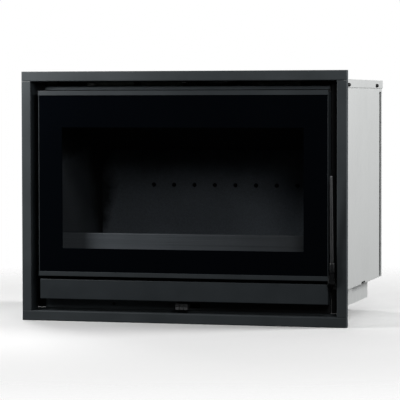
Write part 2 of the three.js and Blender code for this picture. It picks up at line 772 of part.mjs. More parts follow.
function hearth() {
  const half = liningHalf - SEAT;
  const slab = box(-half, half, bodyFrontY, FIREBOX_DEPTH - SEAT, floorTop, hearthTop);
  const ashFall = box(-ashFallHalf, ashFallHalf, ashFallFront, ashFallBack, floorTop - 1, hearthTop + 1);
  const play = 0.5;
  const recessHalf = grateHalf + play;
  const recessBack = grateFront + GRATE_DEPTH + play;
  const recess = box(-recessHalf, recessHalf, grateFront - play, recessBack, grateSeatZ, hearthTop + 1);
  return cut(slab, ashFall, recess);
}

piece('hearth_slab', hearth(), castIron);

// The grate lies in the hearth's recess: two rows of slots between cast bars.
function grate() {
  const bottom = grateSeatZ + SEAT;
  const top = bottom + GRATE_THICKNESS;
  const plate = box(-grateHalf, grateHalf, grateFront, grateFront + GRATE_DEPTH, bottom, top);
  const pitch = 20.5;
  const slotHalf = 4;
  const rim = 14;
  const bridge = 12;
  const slotLength = (GRATE_DEPTH - bridge) / 2 - rim;
  const rows = [grateFront + rim, grateFront + (GRATE_DEPTH + bridge) / 2];
  const count = Math.floor((GRATE_WIDTH - rim) / pitch);
  const slots = range(count).flatMap((index) => {
    const x = (index - (count - 1) / 2) * pitch;
    return rows.map((y) => box(x - slotHalf, x + slotHalf, y, y + slotLength, bottom - 1, top + 1));
  });
  return cut(plate, ...slots);
}

piece('grate', grate(), castIron);

// A low plate across the front keeps logs away from the glass. It's folded back at the top
// and at the foot.
function logGuard() {
  const half = fireOpening.half - 6;
  const sheet = LOG_GUARD_SHEET;
  const front = frontBack + 4;
  const bottom = hearthTop + SEAT;
  const top = hearthTop + LOG_GUARD_HEIGHT;
  const lipBack = front + 14;
  const footBack = front + 12;
  const profile = outline([
    [front, bottom, FOLD_OUTER], [front, top, FOLD_OUTER], [lipBack, top], [lipBack, top - sheet],
    [front + sheet, top - sheet, FOLD_INNER], [front + sheet, bottom + sheet, FOLD_INNER],
    [footBack, bottom + sheet], [footBack, bottom],
  ]);
  return alongX(profile, -half, half, FOLD_STEPS);
}

piece('log_guard', logGuard(), guardSteel);

// ---------------------------------------------------------------- ash drawer

const panBottom = drawerBottom + DRAWER_SHEET + 0.5;
const runnerTop = panBottom - SEAT;

// The ash box stands on the lower box, carries the firebox floor and is the pan's runner.
function ashBox() {
  const base = FOOT_HEIGHT + CASING_SHEET + SEAT;
  const top = bodyFloor - SEAT;
  const wall = 3;
  const walls = [-1, 1].map((side) =>
    sideBox(side, ashBoxHalf - wall, ashBoxHalf, bodyFrontY, ashBoxEnd, base, top));
  const floor = box(-ashBoxHalf, ashBoxHalf, bodyFrontY, ashBoxEnd, runnerTop - 2, runnerTop);
  const back = box(-ashBoxHalf, ashBoxHalf, ashBoxEnd - wall, ashBoxEnd, base, top);
  const airPorts = [-1, 0, 1].map((step) => {
    const x = step * PAN_WIDTH / 3;
    return box(x - 45, x + 45, panBackY - 60, panBackY - 46, runnerTop - 3, runnerTop + 1);
  });
  return cut(join(...walls, floor, back), ...airPorts);
}

piece('ash_box', ashBox(), bodyPaint);

function drawerFront() {
  const wall = DRAWER_SHEET;
  const inner = drawerHalf - wall;
  const front = DRAWER_FRONT_Y;
  const back = front + DRAWER_RETURN;
  const section = outline([
    [front, drawerBottom, FOLD_OUTER], [front, drawerTop, FOLD_OUTER],
    [back, drawerTop], [back, drawerBottom],
  ]);
  const plan = outline([
    [-drawerHalf, front, FOLD_OUTER], [drawerHalf, front, FOLD_OUTER],
    [drawerHalf, back], [-drawerHalf, back],
  ]);
  const whole = alongX(section, -drawerHalf, drawerHalf, FOLD_STEPS)
    .intersect(alongZ(plan, drawerBottom - 1, drawerTop + 1, FOLD_STEPS));
  const hollow = box(-inner, inner, front + wall, back + 1, drawerBottom + wall, drawerTop - wall);
  return cut(whole, hollow);
}

piece('ash_drawer_front', drawerFront(), surroundPaint);

function ashPan() {
  const half = PAN_WIDTH / 2;
  const wall = PAN_SHEET;
  const inner = half - wall;
  const front = DRAWER_FRONT_Y + DRAWER_SHEET + SEAT;
  const top = drawerTop - 4.9;
  const whole = box(-half, half, front, panBackY, panBottom, top);
  const hollow = box(-inner, inner, front + wall, panBackY - wall, panBottom + wall, top + 1);
  return cut(whole, hollow);
}

piece('ash_pan', ashPan(), galvanised);

// ---------------------------------------------------------------- air control

const sliderFront = bodyFrontY + 0.1;
const sliderBack = sliderFront + 1.5;
const sliderLeft = -60;
const sliderRight = 75;
const sliderBottom = FOOT_HEIGHT + CASING_SHEET + SEAT;
const sliderHeight = 17.2;

function airSlider() {
  const top = sliderBottom + sliderHeight;
  const plate = box(sliderLeft, sliderRight, sliderFront, sliderBack, sliderBottom, top);
  const through = [sliderFront - 1, sliderBack + 1];
  const port = box(neckRight + 1, airSlot.right, ...through, airSlot.bottom, airSlot.top);
  return cut(plate, port);
}

piece('air_slider', airSlider(), bodyPaint);

// The slider runs between the front plate and this strip.
function airSliderGuide() {
  const front = sliderBack + SEAT;
  const back = front + 1.5;
  const top = sliderBottom + sliderHeight + 1.2;
  const strip = box(-guideHalf, guideHalf, front, back, sliderBottom, top);
  const port = box(airSlot.left, airSlot.right, front - 1, back + 1, airSlot.bottom, airSlot.top);
  const leftBlock = box(-guideHalf, sliderLeft - 20, bodyFrontY, back, sliderBottom, top);
  const rightBlock = box(sliderRight + AIR_TRAVEL + 10, guideHalf, bodyFrontY, back, sliderBottom, top);
  return join(cut(strip, port), leftBlock, rightBlock);
}

piece('air_slider_guide', airSliderGuide(), bodyPaint);

// The tab's face is cut into two rows of three pads, so that a finger grips it.
function airTab() {
  const low = airSlot.bottom - 1.5;
  const front = 13;
  const shoulder = FRONT_Y - 4;
  const head = box(tabLeft, tabLeft + TAB_WIDTH, front, shoulder, low, low + TAB_HEIGHT);
  const neck = box(
    neckLeft, neckRight, shoulder - 1, sliderFront - SEAT, airSlot.bottom + 1, airSlot.top - 1);
  const groove = 2;
  const depth = 2.2;
  const cell = (TAB_WIDTH - 2 * groove) / 3;
  const upright = [1, 2].map((step) => {
    const x = tabLeft + step * cell + (step - 1) * groove;
    return box(x, x + groove, front - 1, front + depth, low - 1, low + TAB_HEIGHT + 1);
  });
  const middle = low + (TAB_HEIGHT - groove) / 2;
  const level = box(
    tabLeft - 1, tabLeft + TAB_WIDTH + 1, front - 1, front + depth, middle, middle + groove);
  return join(cut(head, ...upright, level), neck);
}

piece('air_control_tab', airTab(), tabSteel);

// ---------------------------------------------------------------- door

const ringBottom = doorBottom + RAIL_FLANGE + SEAT;
const ringTop = doorTop - RAIL_FLANGE - SEAT;
const glassFrontY = DOOR_FRONT_Y + RAIL_SHEET + SEAT;
const glassBackY = glassFrontY + GLASS_THICKNESS;
const gasketThickness = 1.7;
const seatY = glassBackY + SEAT + gasketThickness + SEAT;
const rearSheetY = DOOR_BACK_Y - DOOR_SHEET;
const pinBore = HINGE_PIN_RADIUS + SEAT + 0.1;

function hingeBore(z0, z1) {
  return rod(Z_AXIS, pinBore, [hingeX, HINGE_Y, z0], z1 - z0, 20);
}

// The door frame is a folded channel ring that is open towards the window.
function doorFrame() {
  const wall = doorHalf - DOOR_WALL;
  const lipBottom = doorBottom + RAIL_HEIGHT + SEAT;
  const lipTop = doorTop - RAIL_HEIGHT - SEAT;
  const ring = box(-doorHalf, doorHalf, seatY, DOOR_BACK_Y, ringBottom, ringTop);
  const lips = [-1, 1].map((side) =>
    sideBox(side, doorHalf - DOOR_LIP, doorHalf, glassFrontY, seatY + 1, lipBottom, lipTop));
  const window = box(
    -doorOpenHalf, doorOpenHalf, seatY - 1, DOOR_BACK_Y + 1, doorOpenBottom, doorOpenTop);
  const hollow = box(
    -wall, wall, seatY + DOOR_SHEET, rearSheetY, ringBottom + DOOR_SHEET, ringTop - DOOR_SHEET);
  return cut(join(ring, ...lips), window, hollow, hingeBore(ringBottom - 5, ringTop + 5));
}

piece('door_frame', doorFrame(), doorPaint);

// The rails clip the glass along its upper and lower edges. Each has a fold that ends short
// of the hinge plates, so that the rail turns past them.
const hingePlateRight = 12;
const hingePlateFront = 8;

function doorRail(outerZ, inwards) {
  const span = (height) => [outerZ, outerZ + inwards * height].sort((a, b) => a - b);
  const foldHalf = -hingeX - Math.hypot(hingePlateRight, hingePlateFront) - 2 * RUN;
  const innerZ = outerZ + inwards * RAIL_HEIGHT;
  const webBack = DOOR_FRONT_Y + RAIL_SHEET;
  const edge = 1.2;
  const section = outline([
    [DOOR_FRONT_Y, outerZ, edge], [DOOR_FRONT_Y, innerZ, edge / 2], [webBack, innerZ], [webBack, outerZ],
  ]);
  const web = alongX(section, -doorHalf, doorHalf, FOLD_STEPS);
  const fold = box(-foldHalf, foldHalf, DOOR_FRONT_Y + 1, rearSheetY - 5, ...span(RAIL_FLANGE));
  return join(web, fold);
}

piece('door_rail_top', doorRail(doorTop, -1), doorPaint);
piece('door_rail_bottom', doorRail(doorBottom, 1), doorPaint);

const glassHalf = doorHalf - DOOR_LIP - SEAT;
const glassBottom = doorBottom + RAIL_HEIGHT - GLASS_GRIP;
const glassTop = doorTop - RAIL_HEIGHT + GLASS_GRIP;

const pane = box(-glassHalf, glassHalf, glassFrontY, glassBackY, glassBottom, glassTop);
piece('door_glass', pane, ceramicGlass);

function glassGasket() {
  const edge = 2;
  const width = 13;
  const frame = (inset, y0, y1) => box(
    inset - glassHalf, glassHalf - inset, y0, y1, glassBottom + inset, glassTop - inset);
  const front = glassBackY + SEAT;
  const back = seatY - SEAT;
  return cut(frame(edge, front, back), frame(edge + width, front - 1, back + 1));
}

piece('glass_gasket', glassGasket(), ropeMaterial);

// The seal is a round rope on the door's back, pressed on the firebox front.
function doorSeal() {
  const radius = (FRONT_Y - DOOR_BACK_Y) / 2 - SEAT;
  const y = (FRONT_Y + DOOR_BACK_Y) / 2;
  const half = fireOpening.half + 14;
  const low = fireOpening.bottom - 20;
  const high = fireOpening.top + 19;
  const segments = 10;
  const level = [low, high].map((z) => rod(X_AXIS, radius, [-half, y, z], 2 * half, segments));
  const standing = [-half, half].map((x) => rod(Z_AXIS, radius, [x, y, low], high - low, segments));
  const corners = [-half, half].flatMap((x) => [low, high].map((z) => {
    const ball = new THREE.SphereGeometry(radius, segments, 8);
    ball.translate(x, y, z);
    return solid(ball);
  }));
  return join(...level, ...standing, ...corners);
}

piece('door_seal', doorSeal(), ropeMaterial);

// ---------------------------------------------------------------- hinges

// Each bracket is a plate on the firebox front, with a pin that the door turns on.
function hingeBracket(plateBottom, inwards) {
  const left = -doorHalf + 3.5;
  const right = hingeX + hingePlateRight;
  const back = FRONT_Y - SEAT;
  const plateTop = plateBottom + HINGE_PLATE;
  const plate = box(left, right, HINGE_Y - hingePlateFront, back, plateBottom, plateTop);
  const tail = 36;
  const footLow = inwards > 0 ? plateBottom : plateTop - tail;
  const foot = box(left, hingeX + 5, back - HINGE_PLATE, back, footLow, footLow + tail);
  const pinLength = HINGE_BLOCK + 5;
  const pinStart = inwards > 0 ? plateTop - 1 : plateBottom + 1 - pinLength;
  const pin = rod(Z_AXIS, HINGE_PIN_RADIUS, [hingeX, HINGE_Y, pinStart], pinLength, 20);
  return join(plate, foot, pin);
}

piece('hinge_bracket_upper', hingeBracket(ringTop + RUN, -1), blackSteel);
piece('hinge_bracket_lower', hingeBracket(ringBottom - RUN - HINGE_PLATE, 1), blackSteel);

// Bearing blocks fill the door frame's channel round the pins.
function hingeBlock(z0, z1) {
  const block = box(
    -doorHalf + DOOR_WALL + SEAT, hingeX + 10, seatY + DOOR_SHEET + SEAT, rearSheetY - SEAT, z0, z1);
  return cut(block, hingeBore(z0 - 1, z1 + 1));
}

const blockTop = ringTop - DOOR_SHEET - SEAT;
const blockBottom = ringBottom + DOOR_SHEET + SEAT;
piece('hinge_block_upper', hingeBlock(blockTop - HINGE_BLOCK, blockTop), blackSteel);
piece('hinge_block_lower', hingeBlock(blockBottom, blockBottom + HINGE_BLOCK), blackSteel);

// ---------------------------------------------------------------- handle and latch

const latchBracketSheet = 3;
const latchBracketX = doorHalf + SEAT;
const hubLeft = latchBracketX + latchBracketSheet + SEAT;
const hubRight = hubLeft + 11.4;

function latchBracket() {
  const shape = new THREE.Shape();
  shape.moveTo(24, latchPivotZ + 28);
  shape.lineTo(7, latchPivotZ + 28);
  shape.lineTo(-7, latchPivotZ + 4);
  shape.absarc(0, latchPivotZ, 8, Math.PI - 0.5, Math.PI * 2 - 0.6, false);
  shape.lineTo(24, latchPivotZ + 12);
  const plate = alongX(shape, latchBracketX, latchBracketX + latchBracketSheet, 8);
  const pinLength = hubRight - latchBracketX;
  const pin = rod(X_AXIS, LATCH_PIVOT_RADIUS, [latchBracketX + 1, 0, latchPivotZ], pinLength, 16);
  return join(plate, pin);
}

piece('latch_bracket', latchBracket(), blackSteel);

// The lever turns on the bracket's pin. Its crank carries the collar, and its hook drops
// behind the keeper's pin.
const keeperY = FRONT_Y - 10;
const keeperZ = latchPivotZ - 5;
const keeperRadius = 3;
const hookHalf = 3;
const crankTop = { y: -5, z: latchPivotZ + 22 };
const rodTilt = Math.atan2(ROD_LEAN, handleTopZ - crankTop.z);

function latchLever() {
  const hubLength = hubRight - hubLeft;
  const boreRadius = LATCH_PIVOT_RADIUS + SEAT + 0.1;
  const hub = rod(X_AXIS, HUB_RADIUS, [hubLeft, 0, latchPivotZ], hubLength, 22);
  const bore = rod(X_AXIS, boreRadius, [hubLeft - 1, 0, latchPivotZ], hubLength + 2, 18);
  const armLow = keeperZ + keeperRadius + 0.5;
  const armHigh = armLow + 6;
  const noseFront = keeperY + keeperRadius + RUN;
  const noseBack = noseFront + 5.4;
  const hook = outline([
    [2, armLow - 1], [keeperY - 5, armLow], [noseFront, armLow], [noseFront, keeperZ - 4.5],
    [noseBack - 2, keeperZ - 5.5], [noseBack, armLow], [noseBack - 2, armHigh], [2, armHigh],
  ]);
  const crank = outline([
    [5, latchPivotZ + 2], [crankTop.y + 5.4, crankTop.z], [crankTop.y - 5.4, crankTop.z],
    [-6, latchPivotZ - 2],
  ]);
  const body = join(
    hub,
    alongX(hook, latchX - hookHalf, latchX + hookHalf),
    alongX(crank, latchX - 4, latchX + 4),
  );
  return cut(body, bore);
}

piece('latch_lever', latchLever(), blackSteel);

// The collar and the tapered rod stand on the crank and lean a little forward.
function onCrank(profile, lift, segments) {
  const geometry = turned(profile, segments);
  geometry.rotateX(Math.PI / 2);
  geometry.translate(0, 0, lift);
  geometry.rotateX(rodTilt);
  geometry.translate(latchX, crankTop.y, crankTop.z);
  return solid(geometry);
}

const rodLength = (handleTopZ - crankTop.z) / Math.cos(rodTilt) - COLLAR_LENGTH - 2 * SEAT;

function handleCollar() {
  const profile = [
    [0, 0], [COLLAR_RADIUS - 1.2, 0], [COLLAR_RADIUS, 1.4], [COLLAR_RADIUS, COLLAR_LENGTH - 4],
    [COLLAR_RADIUS - 1.4, COLLAR_LENGTH], [0, COLLAR_LENGTH],
  ];
  return onCrank(profile, 1, 24);
}

function handleRod() {
  const steps = 6;
  const dome = range(steps).map((step) => {
    const angle = step / (steps - 1) * Math.PI / 2;
    const radius = step === steps - 1 ? 0 : ROD_TOP_RADIUS * Math.cos(angle);
    return [radius, rodLength - ROD_TOP_RADIUS + ROD_TOP_RADIUS * Math.sin(angle)];
  });
  const profile = [[0, 0], [ROD_FOOT_RADIUS, 0], [ROD_FOOT_RADIUS * 0.98, rodLength * 0.35], ...dome];
  return onCrank(profile, 1 + COLLAR_LENGTH + SEAT, 20);
}

piece('handle_collar', handleCollar(), handleSteel);
piece('handle_rod', handleRod(), handleSteel);

// The keeper stands on the support angle, beside the hook.
function latchKeeper() {
  const back = bodyFrontY - SEAT;
  const plateOuter = openHalf - 0.6;
  const plateInner = plateOuter - 3.2;
  const foot = box(frontHalf + 4, plateOuter, back - 3, back, keeperZ - 13, keeperZ + 13);
  const plate = box(plateInner, plateOuter, keeperY - 6, back, keeperZ - 10, keeperZ + 8);
  const pinLeft = latchX - 5.5;
  const pin = rod(X_AXIS, keeperRadius, [pinLeft, keeperY, keeperZ], plateInner + 1 - pinLeft, 16);
  return join(foot, plate, pin);
}

piece('latch_keeper', latchKeeper(), zincSteel);

// ---------------------------------------------------------------- origin

// Put the origin at the middle of the footprint, on the floor.
const bounds = new THREE.Box3().setFromObject(insert);
const middle = bounds.getCenter(new THREE.Vector3());
insert.position.set(-middle.x, -middle.y, -bounds.min.z);

export default insert;
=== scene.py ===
"""Looks for a fireplace insert: painted steel front, black-bordered glass, lined firebox,
galvanised convection casing, lever handle, ash drawer and a plain studio around it.

Everything is in metres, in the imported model's frame: +Z up, the glazed front looks along -Y,
and +X is the handle's side. The origin is the middle of the footprint, on the floor."""

import math

import bmesh
import bpy
from bpy.props import FloatProperty, FloatVectorProperty, IntProperty, PointerProperty
from mathutils import Matrix, Vector


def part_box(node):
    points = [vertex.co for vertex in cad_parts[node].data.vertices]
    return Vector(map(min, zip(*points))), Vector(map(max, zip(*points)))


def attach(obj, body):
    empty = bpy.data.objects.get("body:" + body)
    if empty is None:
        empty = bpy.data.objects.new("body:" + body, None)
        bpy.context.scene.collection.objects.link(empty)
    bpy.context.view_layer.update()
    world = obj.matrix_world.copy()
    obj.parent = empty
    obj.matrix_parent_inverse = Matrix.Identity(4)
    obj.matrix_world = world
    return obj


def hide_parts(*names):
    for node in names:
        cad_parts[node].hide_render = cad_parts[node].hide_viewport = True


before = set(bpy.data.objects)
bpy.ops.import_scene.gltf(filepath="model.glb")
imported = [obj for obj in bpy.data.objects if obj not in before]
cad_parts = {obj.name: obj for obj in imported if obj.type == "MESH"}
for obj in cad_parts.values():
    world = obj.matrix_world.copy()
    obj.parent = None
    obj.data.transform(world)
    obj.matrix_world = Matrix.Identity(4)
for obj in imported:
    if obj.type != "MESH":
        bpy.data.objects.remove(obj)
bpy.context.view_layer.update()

bl_info = {
    "name": "Fireplace Insert Looks",
    "version": (1, 0, 0),
    "blender": (4, 5, 0),
    "location": "View3D > Sidebar > Fireplace",
    "description": "Finishes and fine pieces for a built-in fireplace insert",
    "category": "Object",
}

ON_AXIS = 1e-7          # a radius below this closes a turned shape
WELD = 0.000005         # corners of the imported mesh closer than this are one
NOISE_RANGE = 0.3, 0.7  # where most of a noise pattern's values lie


# ------------------------------------------------------------------ settings


class InsertSizes(bpy.types.PropertyGroup):
    """Sizes of the fine pieces and of the rounded edges."""

    paint_edge: FloatProperty(
        name="Painted edge", description="Radius of the painted sheets' edges",
        default=0.0008, unit="LENGTH")
    sheet_edge: FloatProperty(
        name="Sheet edge", description="Radius of the thin sheets' edges",
        default=0.0003, unit="LENGTH")
    cast_edge: FloatProperty(
        name="Cast edge", description="Radius of the cast pieces' edges",
        default=0.0012, unit="LENGTH")
    window_half_width: FloatProperty(
        name="Window half width", description="Half of the clear window's width",
        default=0.290, unit="LENGTH")
    window_bottom: FloatProperty(
        name="Window bottom", description="Height of the clear window's lower edge",
        default=0.1715, unit="LENGTH")
    window_top: FloatProperty(
        name="Window top", description="Height of the clear window's upper edge",
        default=0.455, unit="LENGTH")
    window_corner: FloatProperty(
        name="Window corner", description="Radius of the clear window's corners",
        default=0.002, unit="LENGTH")
    hole_pitch: FloatProperty(
        name="Hole pitch", description="Spacing of the air holes in the back lining",
        default=0.0527, unit="LENGTH")
    hole_radius: FloatProperty(
        name="Hole radius", description="Radius of the air holes in the back lining",
        default=0.0045, unit="LENGTH")
    hole_height: FloatProperty(
        name="Hole height", description="Height of the row of air holes",
        default=0.307, unit="LENGTH")
    hole_count: IntProperty(
        name="Holes", description="Number of air holes in the back lining", default=8)
    rope_pitch: FloatProperty(
        name="Rope pitch", description="Length of one turn of the seal's strands",
        default=0.026, unit="LENGTH")
    thread_pitch: FloatProperty(
        name="Thread pitch", description="Pitch of the levelling feet's thread",
        default=0.00175, unit="LENGTH")


class InsertFinish(bpy.types.PropertyGroup):
    """Colours of the finishes, as linear light."""

    surround: FloatVectorProperty(
        name="Surround paint", description="Textured grey paint of the surround",
        subtype="COLOR", size=3, default=(0.0547, 0.0645, 0.0705))
    door: FloatVectorProperty(
        name="Door paint", description="Grey paint of the door and its rails",
        subtype="COLOR", size=3, default=(0.0440, 0.0522, 0.0580))
    drawer: FloatVectorProperty(
        name="Drawer paint", description="Grey paint of the drawer and the hot-air strip",
        subtype="COLOR", size=3, default=(0.0385, 0.0465, 0.0525))
    body: FloatVectorProperty(
        name="Firebox paint", description="Black heat-resistant paint of the firebox",
        subtype="COLOR", size=3, default=(0.0075, 0.0085, 0.0098))
    lining: FloatVectorProperty(
        name="Lining", description="Dark pressed lining boards",
        subtype="COLOR", size=3, default=(0.216, 0.248, 0.284))
    guard: FloatVectorProperty(
        name="Log guard", description="Bare dark steel of the log guard",
        subtype="COLOR", size=3, default=(0.170, 0.191, 0.212))
    cast: FloatVectorProperty(
        name="Cast iron", description="Cast iron of hearth, grate and collar",
        subtype="COLOR", size=3, default=(0.022, 0.024, 0.027))
    zinc: FloatVectorProperty(
        name="Galvanised sheet", description="Zinc skin of the casing",
        subtype="COLOR", size=3, default=(0.72, 0.735, 0.73))
    # Painted shade: this near-black is painted where shade falls, by the shade film, the hole mask
    # and the black boards.
    painted_shade: FloatVectorProperty(
        name="Painted shade", description="Painted shade on the baffle and in the corners of the firebox",
        subtype="COLOR", size=3, default=(0.0028, 0.0030, 0.0034))
    enamel: FloatVectorProperty(
        name="Glass border", description="Black enamel behind the glass",
        subtype="COLOR", size=3, default=(0.0012, 0.0020, 0.0034))
    handle: FloatVectorProperty(
        name="Handle steel", description="Dark satin steel of the lever handle",
        subtype="COLOR", size=3, default=(0.100, 0.102, 0.105))
    rope: FloatVectorProperty(
        name="Sealing rope", description="Grey glass-fibre rope",
        subtype="COLOR", size=3, default=(0.050, 0.050, 0.050))


class InsertStudio(bpy.types.PropertyGroup):
    """The camera, the lights and the floor."""

    camera_place: FloatVectorProperty(
        name="Camera place", description="Where the camera stands",
        subtype="XYZ", size=3, default=(1.4133, -5.2774, 0.5167))
    camera_yaw: FloatProperty(
        name="Camera yaw", description="Turn of the camera about the vertical",
        subtype="ANGLE", default=math.radians(15.2106))
    camera_pitch: FloatProperty(
        name="Camera pitch", description="How far the camera looks down",
        subtype="ANGLE", default=math.radians(2.5109))
    camera_roll: FloatProperty(
        name="Camera roll", description="Turn of the camera about its own axis",
        subtype="ANGLE", default=math.radians(-0.0961))
    lens: FloatProperty(
        name="Lens", description="Focal length in millimetres, on a 36 mm sensor",
        default=203.566)
    key_power: FloatProperty(
        name="Key light", description="Power of the near light at the upper left",
        default=11.0, subtype="POWER")
    corner_power: FloatProperty(
        name="Corner light", description="Power of the near light at the upper right",
        default=2.3, subtype="POWER")
    front_power: FloatProperty(
        name="Front light", description="Power of the light beside the camera's line",
        default=5.8, subtype="POWER")
    side_power: FloatProperty(
        name="Side light", description="Power of the soft light at the right",
        default=157.0, subtype="POWER")
    rear_power: FloatProperty(
        name="Rear light", description="Power of the soft light behind, at the left",
        default=90.0, subtype="POWER")
    backdrop: FloatProperty(
        name="Backdrop", description="Brightness of the world behind the object",
        default=1.0)
    ambient: FloatProperty(
        name="Ambient", description="Brightness of the soft light from all round",
        default=0.02)
    floor: FloatVectorProperty(
        name="Floor", description="Plain pale floor",
        subtype="COLOR", size=3, default=(0.92, 0.92, 0.92))


def sizes():
    return bpy.context.scene.insert_sizes


def finish():
    return bpy.context.scene.insert_finish


def studio():
    return bpy.context.scene.insert_studio


# ------------------------------------------------------------------ node trees


class Tree:
    """A node tree that short calls fill."""

    def __init__(self, tree):
        self.tree = tree

    def node(self, kind, **settings):
        made = self.tree.nodes.new(kind)
        for key, value in settings.items():
            setattr(made, key, value)
        return made

    def link(self, source, target):
        self.tree.links.new(source, target)

    def feed(self, socket, value):
        """Sets a socket to a plain value, or links it to another socket."""
        if isinstance(value, bpy.types.NodeSocket):
            self.link(value, socket)
        elif isinstance(value, (int, float)) or len(value) == len(socket.default_value):
            socket.default_value = value
        else:
            socket.default_value = (*value, 1.0)

    def place(self):
        return self.node("ShaderNodeTexCoord").outputs["Object"]

    def stretch(self, vector, scale):
        made = self.node("ShaderNodeMapping")
        self.link(vector, made.inputs["Vector"])
        made.inputs["Scale"].default_value = scale
        return made.outputs["Vector"]

    def noise(self, vector, scale, detail=3.0, roughness=0.55):
        made = self.node("ShaderNodeTexNoise")
        self.link(vector, made.inputs["Vector"])
        self.feed(made.inputs["Scale"], scale)
        made.inputs["Detail"].default_value = detail
        made.inputs["Roughness"].default_value = roughness
        return made.outputs["Fac"]

    def cells(self, vector, scale, output="Color"):
        made = self.node("ShaderNodeTexVoronoi")
        self.link(vector, made.inputs["Vector"])
        self.feed(made.inputs["Scale"], scale)
        return made.outputs[output]

    def spread(self, value, from_low, from_high, to_low, to_high):
        made = self.node("ShaderNodeMapRange")
        pairs = zip(("Value", "From Min", "From Max", "To Min", "To Max"),
                    (value, from_low, from_high, to_low, to_high))
        for name, given in pairs:
            self.feed(made.inputs[name], given)
        return made.outputs["Result"]

    def tone(self, noise, to_low, to_high):
        """A noise pattern, spread over a range of its own."""
        return self.spread(noise, *NOISE_RANGE, to_low, to_high)

    def sum(self, operation, first, second):
        made = self.node("ShaderNodeMath", operation=operation)
        self.feed(made.inputs[0], first)
        self.feed(made.inputs[1], second)
        return made.outputs["Value"]

    def blend(self, factor, first, second):
        made = self.node("ShaderNodeMix", data_type="RGBA")
        self.feed(made.inputs["Factor"], factor)
        self.feed(made.inputs[6], first)
        self.feed(made.inputs[7], second)
        return made.outputs[2]

    def relief(self, skin, height, strength, distance):
        made = self.node("ShaderNodeBump")
        made.inputs["Strength"].default_value = strength
        made.inputs["Distance"].default_value = distance
        self.link(height, made.inputs["Height"])
        self.link(made.outputs["Normal"], skin.inputs["Normal"])


SKIN = [("Colour", "colour"), ("Roughness", "value"), ("Height", "value")]
SOCKET_KINDS = {
    "colour": "NodeSocketColor",
    "value": "NodeSocketFloat",
}


def effect(name, takes, gives, build):
    """A shader node group: takes and gives list (socket, kind), and build fills it."""
    group = bpy.data.node_groups.get(name)
    if group:
        return group
    group = bpy.data.node_groups.new(name, "ShaderNodeTree")
    for way, sockets in (("INPUT", takes), ("OUTPUT", gives)):
        for socket, kind in sockets:
            group.interface.new_socket(
                name=socket, in_out=way, socket_type=SOCKET_KINDS[kind])
    tree = Tree(group)
    inside = tree.node("NodeGroupInput").outputs
    results = build(tree, inside)
    out = tree.node("NodeGroupOutput")
    for socket, _ in gives:
        tree.link(results[socket], out.inputs[socket])
    return group


def powder_coat():
    """Fine textured paint: an orange-peel grain and a slow change of shade."""
    def build(tree, given):
        place = tree.place()
        grain = tree.noise(place, given["Grain"], detail=2.0)
        slow = tree.noise(place, 9.0, detail=4.0)
        shade = tree.tone(slow, 0.0, 1.0)
        speck = tree.spread(grain, 0.45, 0.75, 0.0, 0.35)
        colour = tree.blend(tree.sum("MAXIMUM", shade, speck), given["Shade"], given["Light"])
        rough = tree.tone(slow, given["Smooth"], given["Rough"])
        return {"Colour": colour, "Roughness": rough, "Height": grain}
    return effect(
        "Powder coat",
        [("Shade", "colour"), ("Light", "colour"), ("Grain", "value"),
         ("Smooth", "value"), ("Rough", "value")],
        SKIN, build)


def edge_wear_and_highlight():
    """A mask of the convex edges, broken up by noise: edge wear, and a painted highlight along the
    edges.
    """
    def build(tree, given):
        rounded = tree.node("ShaderNodeBevel", samples=3)
        tree.link(given["Width"], rounded.inputs["Radius"])
        real = tree.node("ShaderNodeNewGeometry")
        facing = tree.node("ShaderNodeVectorMath", operation="DOT_PRODUCT")
        tree.link(rounded.outputs["Normal"], facing.inputs[0])
        tree.link(real.outputs["Normal"], facing.inputs[1])
        edge = tree.spread(facing.outputs["Value"], 0.985, 0.80, 0.0, 1.0)
        patch = tree.spread(tree.noise(tree.place(), 60.0, detail=5.0), 0.38, 0.62, 0.35, 1.0)
        worn_and_lit = tree.sum("MULTIPLY", tree.sum("MULTIPLY", edge, patch), given["Amount"])
        return {"Mask": worn_and_lit}
    return effect(
        "Edge wear and highlight", [("Width", "value"), ("Amount", "value")], [("Mask", "value")], build)


def zinc_bloom():
    """Galvanised sheet: soft crystals, rolling streaks and dull patches."""
    def build(tree, given):
        place = tree.place()
        crystal = tree.node("ShaderNodeSeparateColor")
        tree.link(tree.cells(place, given["Crystals"]), crystal.inputs["Color"])
        flake = crystal.outputs["Red"]
        streak = tree.noise(tree.stretch(place, (26.0, 26.0, 1.6)), 3.0, detail=4.0)
        cloud = tree.noise(place, 5.0, detail=5.0)
        tone = tree.sum("ADD", tree.spread(flake, 0.0, 1.0, -0.16, 0.16),
                        tree.sum("ADD", tree.tone(streak, -0.30, 0.30),
                                 tree.tone(cloud, -0.20, 0.20)))
        factor = tree.sum("ADD", tone, 0.5)
        colour = tree.blend(factor, given["Dull"], given["Bright"])
        rough = tree.spread(factor, 0.0, 1.0, 0.60, 0.46)
        return {"Colour": colour, "Roughness": rough, "Height": streak}
    return effect(
        "Zinc bloom", [("Dull", "colour"), ("Bright", "colour"), ("Crystals", "value")],
        SKIN, build)


def drawn_lines():
    """Fine lines left by rolling or turning, along one axis."""
    def build(tree, given):
        scale = tree.node("ShaderNodeCombineXYZ")
        for axis in "XYZ":
            tree.link(given[f"Across {axis}"], scale.inputs[axis])
        spaced = tree.node("ShaderNodeVectorMath", operation="MULTIPLY")
        tree.link(tree.place(), spaced.inputs[0])
        tree.link(scale.outputs["Vector"], spaced.inputs[1])
        fine = tree.noise(spaced.outputs["Vector"], 1.0, detail=3.0)
        cloud = tree.noise(tree.place(), 12.0, detail=4.0)
        colour = tree.blend(tree.tone(fine, 0.0, 1.0), given["Dark"], given["Light"])
        rough = tree.sum("ADD", tree.tone(fine, 0.30, 0.44),
                         tree.tone(cloud, -0.05, 0.07))
        return {"Colour": colour, "Roughness": rough, "Height": fine}
    return effect(
        "Drawn lines",
        [("Dark", "colour"), ("Light", "colour"), ("Across X", "value"),
         ("Across Y", "value"), ("Across Z", "value")],
        SKIN, build)


